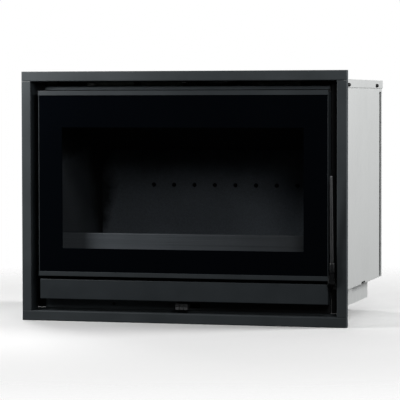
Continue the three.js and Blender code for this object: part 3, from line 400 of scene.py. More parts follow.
def cast_skin():
    """Sand-cast or pressed skin: coarse pits over a cloudy tone."""
    def build(tree, given):
        place = tree.place()
        pits = tree.noise(place, given["Grain"], detail=5.0, roughness=0.7)
        cloud = tree.noise(place, 7.0, detail=3.0)
        tone = tree.sum("ADD", tree.tone(pits, 0.0, 0.6),
                        tree.tone(cloud, 0.0, 0.4))
        colour = tree.blend(tone, given["Dark"], given["Light"])
        rough = tree.tone(pits, 0.92, 0.70)
        return {"Colour": colour, "Roughness": rough, "Height": pits}
    return effect(
        "Cast skin", [("Dark", "colour"), ("Light", "colour"), ("Grain", "value")],
        SKIN, build)


def painted_shade_film():
    """Painted shade over a skin: it darkens upwards, backwards and sideways, in cloudy patches.

    Each axis has a place where the skin is clean and one where it's black. Lean widens the
    shaded corners with height, and Left and Right say which way the sideways shade goes."""
    def build(tree, given):
        split = tree.node("ShaderNodeSeparateXYZ")
        tree.link(tree.place(), split.inputs["Vector"])
        x, y, z = (split.outputs[axis] for axis in "XYZ")
        cloud = tree.tone(tree.noise(tree.place(), 11.0, detail=5.0), -0.02, 0.02)
        shift = tree.sum("ADD", cloud, tree.sum("MULTIPLY", z, given["Lean"]))
        right = tree.sum("MULTIPLY", x, given["Right"])
        left = tree.sum("MULTIPLY", tree.sum("MULTIPLY", x, -1.0), given["Left"])
        aside = tree.sum("ADD", tree.sum("MAXIMUM", right, left), shift)
        measures = {"X": aside, "Y": tree.sum("ADD", y, shift), "Z": tree.sum("ADD", z, cloud)}
        masks = [tree.spread(measure, given[f"Clean {axis}"], given[f"Black {axis}"], 0.0, 1.0)
                 for axis, measure in measures.items()]
        thick = tree.sum("MAXIMUM", masks[0], tree.sum("MAXIMUM", masks[1], masks[2]))
        return {"Mask": tree.sum("MULTIPLY", thick, given["Amount"])}
    takes = [f"{end} {axis}" for axis in "XYZ" for end in ("Clean", "Black")]
    takes += ["Left", "Right", "Lean", "Amount"]
    return effect("Painted shade film", [(name, "value") for name in takes], [("Mask", "value")], build)


def hole_shade():
    """A painted-shade mask: the air holes' bores and a dark ring round them, along one level row."""
    def build(tree, given):
        split = tree.node("ShaderNodeSeparateXYZ")
        tree.link(tree.place(), split.inputs["Vector"])
        x, z = split.outputs["X"], split.outputs["Z"]
        step = tree.sum("DIVIDE", tree.sum("SUBTRACT", x, given["First"]), given["Pitch"])
        nearest = tree.sum("MINIMUM", tree.sum("MAXIMUM", tree.sum("ROUND", step, 0.0), 0.0),
                           given["Last"])
        aside = tree.sum("MULTIPLY", tree.sum("SUBTRACT", step, nearest), given["Pitch"])
        apart = tree.node("ShaderNodeCombineXYZ")
        tree.link(aside, apart.inputs["X"])
        tree.link(tree.sum("SUBTRACT", z, given["Height"]), apart.inputs["Z"])
        away = tree.node("ShaderNodeVectorMath", operation="LENGTH")
        tree.link(apart.outputs["Vector"], away.inputs[0])
        rim = tree.sum("MULTIPLY", given["Radius"], 1.35)
        return {"Mask": tree.spread(away.outputs["Value"], rim, given["Radius"], 0.0, 1.0)}
    takes = ("First", "Pitch", "Last", "Height", "Radius")
    return effect("Hole shade", [(name, "value") for name in takes], [("Mask", "value")], build)


FAR = 9.0    # a place that no piece reaches


def painted_shade(x=(FAR, FAR + 1), y=(FAR, FAR + 1), z=(FAR, FAR + 1), left=1.0, lean=0.0, amount=0.9):
    """Settings of the painted shade film. x, y and z give the clean and the black place."""
    given = {"Left": left, "Right": 1.0, "Lean": lean, "Amount": amount}
    for axis, (clean, black) in zip("XYZ", (x, y, z)):
        given[f"Clean {axis}"] = clean
        given[f"Black {axis}"] = black
    return given


def tint(colour, factor):
    return tuple(min(1.0, channel * factor) for channel in colour)


def mask(tree, group, settings):
    """The mask that a shared effect gives with these settings."""
    made = tree.node("ShaderNodeGroup", node_tree=group)
    for socket, value in settings.items():
        made.inputs[socket].default_value = value
    return made.outputs["Mask"]


def plain_material(name):
    """A new material, its tree and its shader."""
    made = bpy.data.materials.new(name)
    made.use_nodes = True
    return made, Tree(made.node_tree), made.node_tree.nodes["Principled BSDF"]


def surface(name, group, given, metallic=0.0, bump=0.0, bump_size=0.0002, worn_and_lit_edges=None,
            painted_shading=None, holes=None, specular=0.5):
    """A material whose colour, roughness and bump come from a shared effect."""
    made = bpy.data.materials.get(name)
    if made:
        return made
    made = bpy.data.materials.new(name)
    made.use_nodes = True
    tree = Tree(made.node_tree)
    made.node_tree.nodes.clear()
    skin = tree.node("ShaderNodeBsdfPrincipled")
    out = tree.node("ShaderNodeOutputMaterial")
    tree.link(skin.outputs["BSDF"], out.inputs["Surface"])
    look = tree.node("ShaderNodeGroup", node_tree=group)
    for socket, value in given.items():
        tree.feed(look.inputs[socket], value)
    colour = look.outputs["Colour"]
    # Worn and lit edges: real wear on the convex edges, and a painted highlight along them.
    if worn_and_lit_edges:
        edges = mask(tree, edge_wear_and_highlight(), {"Width": worn_and_lit_edges["width"], "Amount": worn_and_lit_edges["amount"]})
        colour = tree.blend(edges, colour, worn_and_lit_edges["colour"])
    # Painted shade: the shade film and the hole mask blend the painted shade colour into the skin.
    for group_of, settings in ((painted_shade_film, painted_shading), (hole_shade, holes)):
        if settings:
            colour = tree.blend(mask(tree, group_of(), settings), colour, finish().painted_shade)
    tree.link(colour, skin.inputs["Base Color"])
    tree.link(look.outputs["Roughness"], skin.inputs["Roughness"])
    skin.inputs["Metallic"].default_value = metallic
    skin.inputs["Specular IOR Level"].default_value = specular
    if bump:
        tree.relief(skin, look.outputs["Height"], bump, bump_size)
    return made


def paint(name, colour, grain=900.0, smooth=0.44, rough=0.56, light=1.14, amount=0.5,
          painted_shading=None):
    return surface(
        name, powder_coat(),
        {"Shade": tint(colour, 0.93), "Light": tint(colour, light), "Grain": grain,
         "Smooth": smooth, "Rough": rough},
        metallic=0.15, bump=0.25, painted_shading=painted_shading,
        # edges 1.9 times lighter: wear and a painted highlight
        worn_and_lit_edges={"width": 0.0007, "amount": amount, "colour": (*tint(colour, 1.9), 1.0)})


def galvanised():
    zinc = finish().zinc
    return surface(
        "galvanised sheet", zinc_bloom(),
        {"Dull": tint(zinc, 0.93), "Bright": tint(zinc, 1.06), "Crystals": 70.0},
        metallic=0.35, bump=0.04)


def lined(name, colour, across, metallic=0.8, bump=0.1, painted_shading=None):
    """Rolled, drawn or turned steel. across says how fine the lines are along X, Y and Z."""
    x, y, z = across
    return surface(
        name, drawn_lines(),
        {"Dark": tint(colour, 0.85), "Light": tint(colour, 1.15), "Across X": x,
         "Across Y": y, "Across Z": z},
        metallic=metallic, bump=bump, painted_shading=painted_shading,
        # edges 1.7 times lighter: wear and a painted highlight
        worn_and_lit_edges={"width": 0.0006, "amount": 0.4, "colour": (*tint(colour, 1.7), 1.0)})


def cast(name, colour, grain=420.0, metallic=0.0, bump=0.4, painted_shading=None, holes=None):
    return surface(
        name, cast_skin(),
        {"Dark": tint(colour, 0.72), "Light": tint(colour, 1.3), "Grain": grain},
        metallic=metallic, bump=bump, bump_size=0.0006, specular=0.35, painted_shading=painted_shading,
        holes=holes)


def surround_paint():
    return paint("surround paint", finish().surround)


def door_paint():
    return paint("door paint", finish().door, smooth=0.40, rough=0.50)


def drawer_paint():
    return paint("drawer paint", finish().drawer, smooth=0.40, rough=0.52)


def lit_strip_paint():
    # Painted light: the drawer's grey made 1.6 times lighter, for the light that falls on the
    # hot-air strip and grille.
    return paint("lit strip paint", tint(finish().drawer, 1.6), smooth=0.40, rough=0.52)


def body_paint():
    return paint("firebox paint", finish().body, grain=650.0, smooth=0.60, rough=0.74,
                 light=1.3, amount=0.3)


def plate_light_and_shade_paint():
    """The front plate: paint half again lighter than the surround's, left as painted light along its
    lower left edge, and darkened by painted shade everywhere else, round the fire.
    """
    return paint("front plate light and shade paint", tint(finish().surround, 1.5), smooth=0.50, rough=0.62,
                 painted_shading=painted_shade(x=(-0.22, 0.12), z=(0.075, 0.090), left=-1.0, amount=0.94))


def black_steel():
    return paint("black steel", (0.012, 0.013, 0.014), grain=700.0, smooth=0.42,
                 rough=0.55, light=1.3, amount=0.8)


def bright_zinc():
    return lined("bright zinc", (0.34, 0.345, 0.34), (300.0, 300.0, 40.0), metallic=0.6)


def lining_board_with_painted_shade():
    """The back lining, with painted shade in its corners, towards the baffle and in its air holes.
    """
    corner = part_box("lining_side_right")[0].x
    last = sizes().hole_count - 1
    holes = {"First": -sizes().hole_pitch * last / 2, "Pitch": sizes().hole_pitch, "Last": last,
             "Height": sizes().hole_height, "Radius": sizes().hole_radius}
    return cast("lining board with painted shade", finish().lining, grain=300.0, bump=0.5, holes=holes,
                painted_shading=painted_shade(x=(corner + 0.022, corner + 0.056), z=(0.33, 0.45), lean=0.2))


def side_lining_board_with_painted_shade():
    """A side lining: a third as light as the back lining, and darkened towards the back corner and
    the baffle, all as painted shade.
    """
    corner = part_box("lining_back")[0].y
    return cast("side lining board with painted shade", tint(finish().lining, 0.33), grain=300.0, bump=0.5,
                painted_shading=painted_shade(y=(corner + 0.01, corner + 0.07), z=(0.375, 0.40), lean=0.4))


def shade_black_board():
    # Painted shade: the baffle's black stands for the shade under it; the rear air duct takes the
    # same black.
    return cast("shade black board", finish().painted_shade, grain=300.0, bump=0.5)


def cast_iron():
    return cast("cast iron", finish().cast, metallic=0.25)


# ------------------------------------------------------------------ CAD nodes


def dress(nodes, material, edge=0.0, segments=2, angle=32.0):
    """Gives CAD nodes their material, and rounds the edges with a modifier."""
    for name in nodes:
        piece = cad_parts[name]
        piece.data.materials.clear()
        piece.data.materials.append(material)
        weld = piece.modifiers.new("welded_corners", "WELD")
        weld.merge_threshold = WELD
        if edge:
            rounding = piece.modifiers.new("rounded_edges", "BEVEL")
            rounding.width = edge
            rounding.segments = segments
            rounding.limit_method = "ANGLE"
            rounding.angle_limit = math.radians(angle)
            rounding.harden_normals = True


def both_sides(name):
    return [f"{name}_left", f"{name}_right"]


# ------------------------------------------------------------------ fine pieces


def new_piece(name, vertices, faces, materials, face_material=None, smooth=None):
    """A mesh object. smooth is the angle up to which faces shade as one surface."""
    mesh = bpy.data.meshes.new(name)
    mesh.from_pydata([tuple(v) for v in vertices], [], faces)
    for material in materials:
        mesh.materials.append(material)
    if face_material:
        for polygon, index in zip(mesh.polygons, face_material):
            polygon.material_index = index
    shape = bmesh.new()
    shape.from_mesh(mesh)
    bmesh.ops.recalc_face_normals(shape, faces=shape.faces)
    shape.to_mesh(mesh)
    shape.free()
    if smooth is not None:
        for polygon in mesh.polygons:
            polygon.use_smooth = True
        mesh.set_sharp_from_angle(angle=math.radians(smooth))
    piece = bpy.data.objects.new(name, mesh)
    bpy.context.scene.collection.objects.link(piece)
    return piece


def settle(piece, body, slot, *nodes):
    """Ties a fine piece to its body, and to the CAD nodes that it stands for. slot is not used."""
    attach(piece, body)
    if nodes:
        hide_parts(*nodes)
    return piece


def turned(profile, segments, place):
    """Vertices and faces of a turned shape. profile is (radius, height) from end to end, and
    place is the matrix that puts its axis, Z, where it belongs."""
    vertices, faces, rings = [], [], []
    for radius, height in profile:
        if radius < ON_AXIS:
            rings.append([len(vertices)])
            vertices.append(place @ Vector((0, 0, height)))
            continue
        rings.append(list(range(len(vertices), len(vertices) + segments)))
        for step in range(segments):
            angle = 2 * math.pi * step / segments
            vertices.append(
                place @ Vector((radius * math.cos(angle), radius * math.sin(angle), height)))
    for low, high in zip(rings, rings[1:]):
        for step in range(segments):
            after = (step + 1) % segments
            corners = []
            for ring, index in ((low, step), (low, after), (high, after), (high, step)):
                corner = ring[index % len(ring)]
                if corner not in corners:
                    corners.append(corner)
            if len(corners) > 2:
                faces.append(corners)
    return vertices, faces


def band(first, second):
    """Faces between two rings of vertices with the same count."""
    after = [*range(1, len(first)), 0]
    return [[first[step], first[next_step], second[next_step], second[step]]
            for step, next_step in enumerate(after)]


def hexagon(angle):
    """How far a hexagon's edge is from its middle, as a share of its corner radius."""
    return math.cos(math.pi / 6) / math.cos(angle % (math.pi / 3) - math.pi / 6)


def turned_piece(name, profile, segments, place, material, smooth):
    vertices, faces = turned(profile, segments, place)
    return new_piece(name, vertices, faces, [material], smooth=smooth)


def placed(point, angle=0.0, axis="X"):
    """The matrix that turns a shape about one axis and moves it to a point."""
    return Matrix.Translation(point) @ Matrix.Rotation(angle, 4, axis)


def screw(name, place, material):
    """A button-head screw with a round recess. It sits on the plane Z = 0 of its place."""
    profile = [(0, -0.005), (0.0015, -0.005), (0.0015, 0.0), (0.0036, 0.0), (0.0038, 0.0003),
               (0.0035, 0.0011), (0.0027, 0.0017), (0.0016, 0.0020), (0.0013, 0.0020),
               (0.0009, 0.0009), (0, 0.0009)]
    return turned_piece(name, profile, 28, place, material, smooth=40)


def rounded_rectangle(half_width, low, high, corner, steps=5):
    """Corner points of a rounded rectangle in X and Z, anticlockwise from the front."""
    points = []
    quarters = (
        (half_width - corner, low + corner, -90), (half_width - corner, high - corner, 0),
        (corner - half_width, high - corner, 90), (corner - half_width, low + corner, 180))
    for x, z, start in quarters:
        for step in range(steps + 1):
            angle = math.radians(start + 90 * step / steps)
            points.append((x + corner * math.cos(angle), z + corner * math.sin(angle)))
    return points


# ------------------------------------------------------------------ operators


class INSERT_OT_surround(bpy.types.Operator):
    """Paint the folded surround and its supports"""

    bl_idname = "insert.surround"
    bl_label = "Surround"

    def execute(self, context):
        bars = ["surround_top", "surround_bottom", *both_sides("surround")]
        dress(bars, surround_paint(), sizes().paint_edge, segments=3)
        # Painted shade: the supports take the firebox's black so that the deep gap beside the door
        # reads dark.
        dress(both_sides("surround_support"), body_paint(), sizes().sheet_edge)
        return {"FINISHED"}


class INSERT_OT_firebox_front(bpy.types.Operator):
    """Paint the front plate, the hot-air strip and the outlet grille"""

    bl_idname = "insert.firebox_front"
    bl_label = "Firebox front"

    def execute(self, context):
        # Painted light and shade: the front plate's lighter lower left edge and its darkened rest.
        dress(["firebox_front"], plate_light_and_shade_paint(), sizes().paint_edge)
        # Painted light: the hot-air strip and grille take the lighter copy of the drawer paint.
        dress(["hot_air_deflector"], lit_strip_paint(), sizes().sheet_edge)
        dress(["hot_air_outlet_grille"], lit_strip_paint())
        return {"FINISHED"}


class INSERT_OT_casing(bpy.types.Operator):
    """Skin the convection casing and the lower box with zinc"""

    bl_idname = "insert.casing"
    bl_label = "Casing"

    def execute(self, context):
        sheets = ["casing_top", "casing_back", "casing_floor", "lower_box",
                  *both_sides("casing_side")]
        dress(sheets, galvanised(), sizes().sheet_edge)
        self.back_screws()
        return {"FINISHED"}

    def back_screws(self):
        """Sheet screws that hold the casing's back, along its upper and lower edge."""
        low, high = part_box("casing_back")
        inset, across = 0.012, 4
        for row, z in (("lower", low.z + inset), ("upper", high.z - inset)):
            for index in range(across):
                x = low.x + inset + (high.x - low.x - 2 * inset) * index / (across - 1)
                place = placed((x, high.y, z), -math.pi / 2)
                name = f"back_screw_{row}_{index + 1}"
                settle(screw(name, place, bright_zinc()), "body", "zinc_steel")


BOLT_RISE = 0.0062    # height of a bolt's head


class INSERT_OT_bolts(bpy.types.Operator):
    """Turn the four button-head bolts of the casing, with their hexagon sockets"""

    bl_idname = "insert.bolts"
    bl_label = "Casing bolts"

    def execute(self, context):
        for end in ("front", "rear"):
            for side, sign in (("left", -1), ("right", 1)):
                node = f"casing_bolt_{end}_{side}"
                low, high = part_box(node)
                seat = (high.x - BOLT_RISE) if sign > 0 else (low.x + BOLT_RISE)
                middle = (low + high) / 2
                place = placed((seat, middle.y, middle.z), sign * math.pi / 2, "Y")
                settle(self.bolt(f"bolt_{end}_{side}", place), "body", "black_steel", node)
        return {"FINISHED"}

    def bolt(self, name, place):
        segments = 36
        shank, head, rise, wall = 0.0025, 0.0045, BOLT_RISE, 0.0018
        profile = [(0, -0.008), (shank - 0.0004, -0.008), (shank, -0.0076), (shank, 0),
                   (head - 0.0003, 0), (head, 0.0004), (head, wall)]
        crown = math.radians(63)
        for step in range(1, 8):
            angle = crown * step / 7
            up = (rise - wall) * math.sin(angle) / math.sin(crown)
            profile.append((head * math.cos(angle), wall + up))
        vertices, faces = turned(profile, segments, Matrix())
        rim = list(range(len(vertices) - segments, len(vertices)))
        previous = rim
        for radius, height in ((0.0014, rise), (0.0014, rise - 0.0022)):
            ring = []
            for step in range(segments):
                angle = 2 * math.pi * step / segments
                flat = hexagon(angle)
                ring.append(len(vertices))
                vertices.append(Vector((
                    radius * flat * math.cos(angle), radius * flat * math.sin(angle), height)))
            faces += band(previous, ring)
            previous = ring
        faces.append(previous)
        return new_piece(name, [place @ v for v in vertices], faces, [black_steel()], smooth=35)


class INSERT_OT_feet(bpy.types.Operator):
    """Turn the four levelling feet, with thread, nut and pad"""

    bl_idname = "insert.feet"
    bl_label = "Levelling feet"

    def execute(self, context):
        for end in ("front", "rear"):
            for side in ("left", "right"):
                node = f"levelling_foot_{end}_{side}"
                settle(self.foot(f"foot_{end}_{side}", node), "body", "black_steel", node)
        return {"FINISHED"}

    def foot(self, name, node):
        low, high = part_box(node)
        middle = (low + high) / 2
        place = Matrix.Translation((middle.x, middle.y, low.z))
        height = high.z - low.z
        stud = 0.005
        profile = [(0, 0), (0.0170, 0), (0.018, 0.0008), (0.018, 0.003), (0.0172, 0.0042),
                   (0.016, 0.005), (0.011, 0.0060), (0.008, 0.0066), (0.0056, 0.0080),
                   (stud, 0.0092)]
        pitch = sizes().thread_pitch
        turn = 0.0100
        while turn + pitch < height - 0.001:
            profile += [(stud, turn), (stud, turn + pitch * 0.2),
                        (stud - 0.0008, turn + pitch * 0.5), (stud - 0.0008, turn + pitch * 0.7)]
            turn += pitch
        profile += [(stud, turn), (stud - 0.0008, height), (0, height)]
        vertices, faces = turned(profile, 40, place)
        nut = self.nut(place, 0.0201, 0.0291, len(vertices))
        return new_piece(name, vertices + nut[0], faces + nut[1], [black_steel()], smooth=35)

    def nut(self, place, low, high, first):
        """A hexagon nut with chamfered corners, closed round the stud."""
        across, chamfer, segments = 0.0098, 0.0009, 48
        vertices, faces, rings = [], [], []
        steps = ((0.0046, low), (across * 0.87, low), (None, low + chamfer),
                 (None, high - chamfer), (across * 0.87, high), (0.0046, high))
        for radius, height in steps:
            ring = []
            for step in range(segments):
                angle = 2 * math.pi * step / segments
                flat = hexagon(angle)
                reach = radius if radius else across * flat
                ring.append(first + len(vertices))
                vertices.append(
                    place @ Vector((reach * math.cos(angle), reach * math.sin(angle), height)))
            rings.append(ring)
        for low_ring, high_ring in zip(rings, rings[1:] + rings[:1]):
            faces += band(low_ring, high_ring)
        return vertices, faces


class INSERT_OT_firebox(bpy.types.Operator):
    """Paint the firebox body and give the linings, duct and baffle their skins"""

    bl_idname = "insert.firebox"
    bl_label = "Firebox"

    def execute(self, context):
        shell = ["firebox_floor", "firebox_back", "firebox_top", *both_sides("firebox_side")]
        dress(shell, body_paint(), sizes().sheet_edge)
        dress(["rear_air_duct"], shade_black_board())
        edge = sizes().cast_edge
        # Painted shade: the linings darken in their corners, towards the baffle and in the air
        # holes, and the side linings are painted darker than the back.
        dress(["lining_back"], lining_board_with_painted_shade(), edge, segments=3)
        dress(both_sides("lining_side"), side_lining_board_with_painted_shade(), edge, segments=3)
        # Painted shade: the baffle is made black where shade falls under it.
        dress(["baffle"], shade_black_board(), edge, segments=3)
        return {"FINISHED"}


class INSERT_OT_hearth(bpy.types.Operator):
    """Give the hearth and grate a cast skin, and the log guard its bare steel"""

    bl_idname = "insert.hearth"
    bl_label = "Hearth and log guard"

    def execute(self, context):
        dress(["hearth_slab", "grate"], cast_iron(), sizes().cast_edge, segments=3)
        # Painted shade: the log guard darkens towards the right, where less light falls.
        guard = lined("log guard steel with painted shade", finish().guard, (3.0, 700.0, 700.0), metallic=0.1,
                      painted_shading=painted_shade(x=(-0.28, 0.55), left=-1.0, amount=1.0))
        dress(["log_guard"], guard, sizes().paint_edge)
        return {"FINISHED"}


class INSERT_OT_flue_collar(bpy.types.Operator):
    """Turn the cast flue collar with its bead and flange"""

    bl_idname = "insert.flue_collar"
    bl_label = "Flue collar"

    def execute(self, context):
        low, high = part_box("flue_collar")
        middle = (low + high) / 2
        flange = (high.x - low.x) / 2
        height = high.z - low.z
        outer, bore, soft = flange - 0.020, flange - 0.023, 0.0008
        profile = [
            (bore, 0.0), (flange - soft, 0.0), (flange, soft), (flange, 0.003 - soft),
            (flange - soft, 0.003), (outer + 0.003, 0.003), (outer + 0.001, 0.0036),
            (outer, 0.006), (outer, height - 0.0062), (outer + 0.0009, height - 0.0056),
            (outer + 0.0016, height - 0.0044), (outer + 0.0016, height - 0.0026),
            (outer + 0.0009, height - 0.0014), (outer, height - 0.0008),
            (outer - 0.0006, height), (bore + 0.0006, height), (bore, height - 0.0006),
            (bore, 0.0),
        ]
        place = Matrix.Translation((middle.x, middle.y, low.z))
        piece = turned_piece("flue_ring", profile, 96, place, cast_iron(), smooth=40)
        weld = piece.modifiers.new("welded_seam", "WELD")
        weld.merge_threshold = 0.00001
        settle(piece, "body", "cast_iron", "flue_collar")
        self.flange_screws(middle, low.z + 0.003, flange - 0.010)
        return {"FINISHED"}

    def flange_screws(self, middle, z, radius):
        count = 6
        for index in range(count):
            angle = 2 * math.pi * (index + 0.5) / count
            x, y = middle.x + radius * math.cos(angle), middle.y + radius * math.sin(angle)
            name = f"flange_screw_{index + 1}"
            place = Matrix.Translation((x, y, z))
            settle(screw(name, place, black_steel()), "body", "black_steel")


class INSERT_OT_ash_drawer(bpy.types.Operator):
    """Paint the ash drawer's front, and skin its pan and box"""

    bl_idname = "insert.ash_drawer"
    bl_label = "Ash drawer"

    def execute(self, context):
        dress(["ash_drawer_front"], drawer_paint(), sizes().paint_edge, segments=3)
        dress(["ash_pan"], galvanised(), sizes().sheet_edge)
        dress(["ash_box"], body_paint())
        return {"FINISHED"}


class INSERT_OT_air_control(bpy.types.Operator):
    """Finish the ribbed air tab, its slider and its guide with two screws"""

    bl_idname = "insert.air_control"
    bl_label = "Air control"

    def execute(self, context):
        # The tab's lighter rib edges are wear and painted highlights.
        tab = lined("tab steel", (0.12, 0.124, 0.128), (400.0, 400.0, 12.0), metallic=0.3)
        dress(["air_control_tab"], tab, 0.0005)
        dress(["air_slider", "air_slider_guide"], body_paint())
        low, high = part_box("air_slider_guide")
        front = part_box("firebox_front")[0].y
        middle = (low + high) / 2
        inset = 0.009
        for side, x in (("left", low.x + inset), ("right", high.x - inset)):
            place = placed((x, front, middle.z - 0.001), math.pi / 2)
            settle(screw(f"guide_screw_{side}", place, black_steel()), "body", "black_steel")
        return {"FINISHED"}


class INSERT_OT_door(bpy.types.Operator):
    """Paint the door's folded frame and the two rails that hold the glass"""

    bl_idname = "insert.door"
    bl_label = "Door"

    def execute(self, context):
        dress(["door_frame"], door_paint(), sizes().sheet_edge)
        dress(["door_rail_top", "door_rail_bottom"], door_paint(), 0.0005, segments=3)
        return {"FINISHED"}


class INSERT_OT_glass(bpy.types.Operator):
    """Cut the pane: a black-enamelled border round a clear window"""

    bl_idname = "insert.glass"
    bl_label = "Door glass"

    def execute(self, context):
        low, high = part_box("door_glass")
        inner = rounded_rectangle(sizes().window_half_width, sizes().window_bottom,
                                  sizes().window_top, sizes().window_corner)
        soft, middle = 0.0006, (low.x + high.x) / 2
        half = high.x - middle
        outer = rounded_rectangle(half, low.z, high.z, soft)
        shrunk = rounded_rectangle(half - soft, low.z + soft, high.z - soft, soft)
        vertices, count = [], len(inner)

        def ring(points, y):
            first = len(vertices)
            vertices.extend(Vector((x, y, z)) for x, z in points)
            return list(range(first, first + count))

        front_window, front_rim = ring(inner, low.y), ring(shrunk, low.y)
        side_front, side_back = ring(outer, low.y + soft), ring(outer, high.y - soft)
        back_rim, back_window = ring(shrunk, high.y), ring(inner, high.y)
        rings = (front_window, front_rim, side_front, side_back, back_rim, back_window)
        faces = [front_window]
        for near, far in zip(rings, rings[1:]):
            faces += band(near, far)
        faces.append(back_window)
        clear, border = 0, 1
        kinds = [clear, *[border] * (len(faces) - 2), clear]
        pane = new_piece("glass_pane", vertices, faces, [self.clear(), self.border()], kinds)
        settle(pane, "door", "ceramic_glass", "door_glass")
        return {"FINISHED"}

    def clear(self):
        made, tree, skin = plain_material("clear glass")
        film = tree.noise(tree.place(), 6.0, detail=4.0)
        tree.link(tree.tone(film, 0.03, 0.07), skin.inputs["Roughness"])
        tree.link(tree.tone(film, 0.07, 0.11), skin.inputs["Alpha"])
        shade = tree.blend(film, (0.0006, 0.0008, 0.0010), (0.0012, 0.0014, 0.0017))
        tree.link(shade, skin.inputs["Base Color"])
        skin.inputs["IOR"].default_value = 1.5
        return made

    def border(self):
        made, tree, skin = plain_material("enamelled glass")
        film = tree.noise(tree.place(), 5.0, detail=4.0)
        enamel = finish().enamel
        tree.link(tree.blend(film, tint(enamel, 0.8), tint(enamel, 1.25)), skin.inputs["Base Color"])
        tree.link(tree.tone(film, 0.05, 0.10), skin.inputs["Roughness"])
        skin.inputs["IOR"].default_value = 1.5
        return made


ROPE_STEP = 0.0022    # length of the seal between two of its rings


class INSERT_OT_seals(bpy.types.Operator):
    """Lay the twisted rope seal behind the door and the flat gasket behind the glass"""

    bl_idname = "insert.seals"
    bl_label = "Seals"

    def execute(self, context):
        low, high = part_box("door_seal")
        radius = (high.y - low.y) / 2
        y = (low.y + high.y) / 2
        corner = 0.012
        half = high.x - radius
        points = rounded_rectangle(half, low.z + radius, high.z - radius, corner, steps=8)
        route = self.even([Vector((x, y, z)) for x, z in points], ROPE_STEP)
        vertices, faces = self.rope(route, radius)
        seal = new_piece("rope_seal", vertices, faces, [self.fibre("sealing rope")], smooth=60)
        settle(seal, "door", "sealing_rope", "door_seal")
        dress(["glass_gasket"], self.fibre("flat gasket"))
        return {"FINISHED"}

    def even(self, points, step):
        """The closed route again, with points an even step apart."""
        loop = points + points[:1]
        lengths = [0.0]
        for a, b in zip(loop, loop[1:]):
            lengths.append(lengths[-1] + (b - a).length)
        count = round(lengths[-1] / step)
        spaced, leg = [], 0
        for index in range(count):
            along = lengths[-1] * index / count
            while lengths[leg + 1] < along:
                leg += 1
            share = (along - lengths[leg]) / (lengths[leg + 1] - lengths[leg])
            spaced.append(loop[leg].lerp(loop[leg + 1], share))
        return spaced

    def rope(self, route, radius):
        """Three strands twisted round the route, each a tube of its own."""
        strands, around = 3, 7
        count = len(route)
        turns = round(count * ROPE_STEP / sizes().rope_pitch)
        strand = radius * 0.53
        offset = radius - strand
        vertices, faces = [], []
        out = Vector((0, 1, 0))
        for number in range(strands):
            first = len(vertices)
            for index, point in enumerate(route):
                ahead = (route[(index + 1) % count] - route[index - 1]).normalized()
                side = ahead.cross(out).normalized()
                phase = 2 * math.pi * (turns * index / count + number / strands)
                centre = point + (side * math.cos(phase) + out * math.sin(phase)) * offset
                for spoke in range(around):
                    angle = 2 * math.pi * spoke / around
                    vertices.append(
                        centre + (side * math.cos(angle) + out * math.sin(angle)) * strand)
            starts = [first + index * around for index in range(count)]
            rings = [list(range(start, start + around)) for start in starts]
            for here, there in zip(rings, rings[1:] + rings[:1]):
                faces += band(here, there)
        return vertices, faces

    def fibre(self, name):
        made, tree, skin = plain_material(name)
        rope = finish().rope
        thread = tree.noise(tree.stretch(tree.place(), (1.0, 1.0, 1.4)), 1500.0, detail=2.0)
        tree.link(tree.blend(thread, tint(rope, 0.6), tint(rope, 1.5)), skin.inputs["Base Color"])
        tree.link(tree.tone(thread, 0.85, 0.98), skin.inputs["Roughness"])
        tree.relief(skin, thread, 0.6, 0.0004)
        return made


class INSERT_OT_hinges(bpy.types.Operator):
    """Finish the hinge brackets, their pins and the bearing blocks"""

    bl_idname = "insert.hinges"
    bl_label = "Hinges"

    def execute(self, context):
        pieces = ["hinge_bracket_upper", "hinge_bracket_lower", "hinge_block_upper",
                  "hinge_block_lower"]
        dress(pieces, black_steel(), sizes().sheet_edge)
        return {"FINISHED"}


class INSERT_OT_latch(bpy.types.Operator):
    """Finish the latch bracket, the lever and the keeper"""

    bl_idname = "insert.latch"
    bl_label = "Latch"

    def execute(self, context):
        dress(["latch_bracket", "latch_lever"], black_steel(), 0.0004)
        dress(["latch_keeper"], bright_zinc(), 0.0004)
        return {"FINISHED"}


ROD_FOOT = 0.0037     # radius of the handle's rod at its thick end
ROD_TIP = 0.0027      # and at its tip


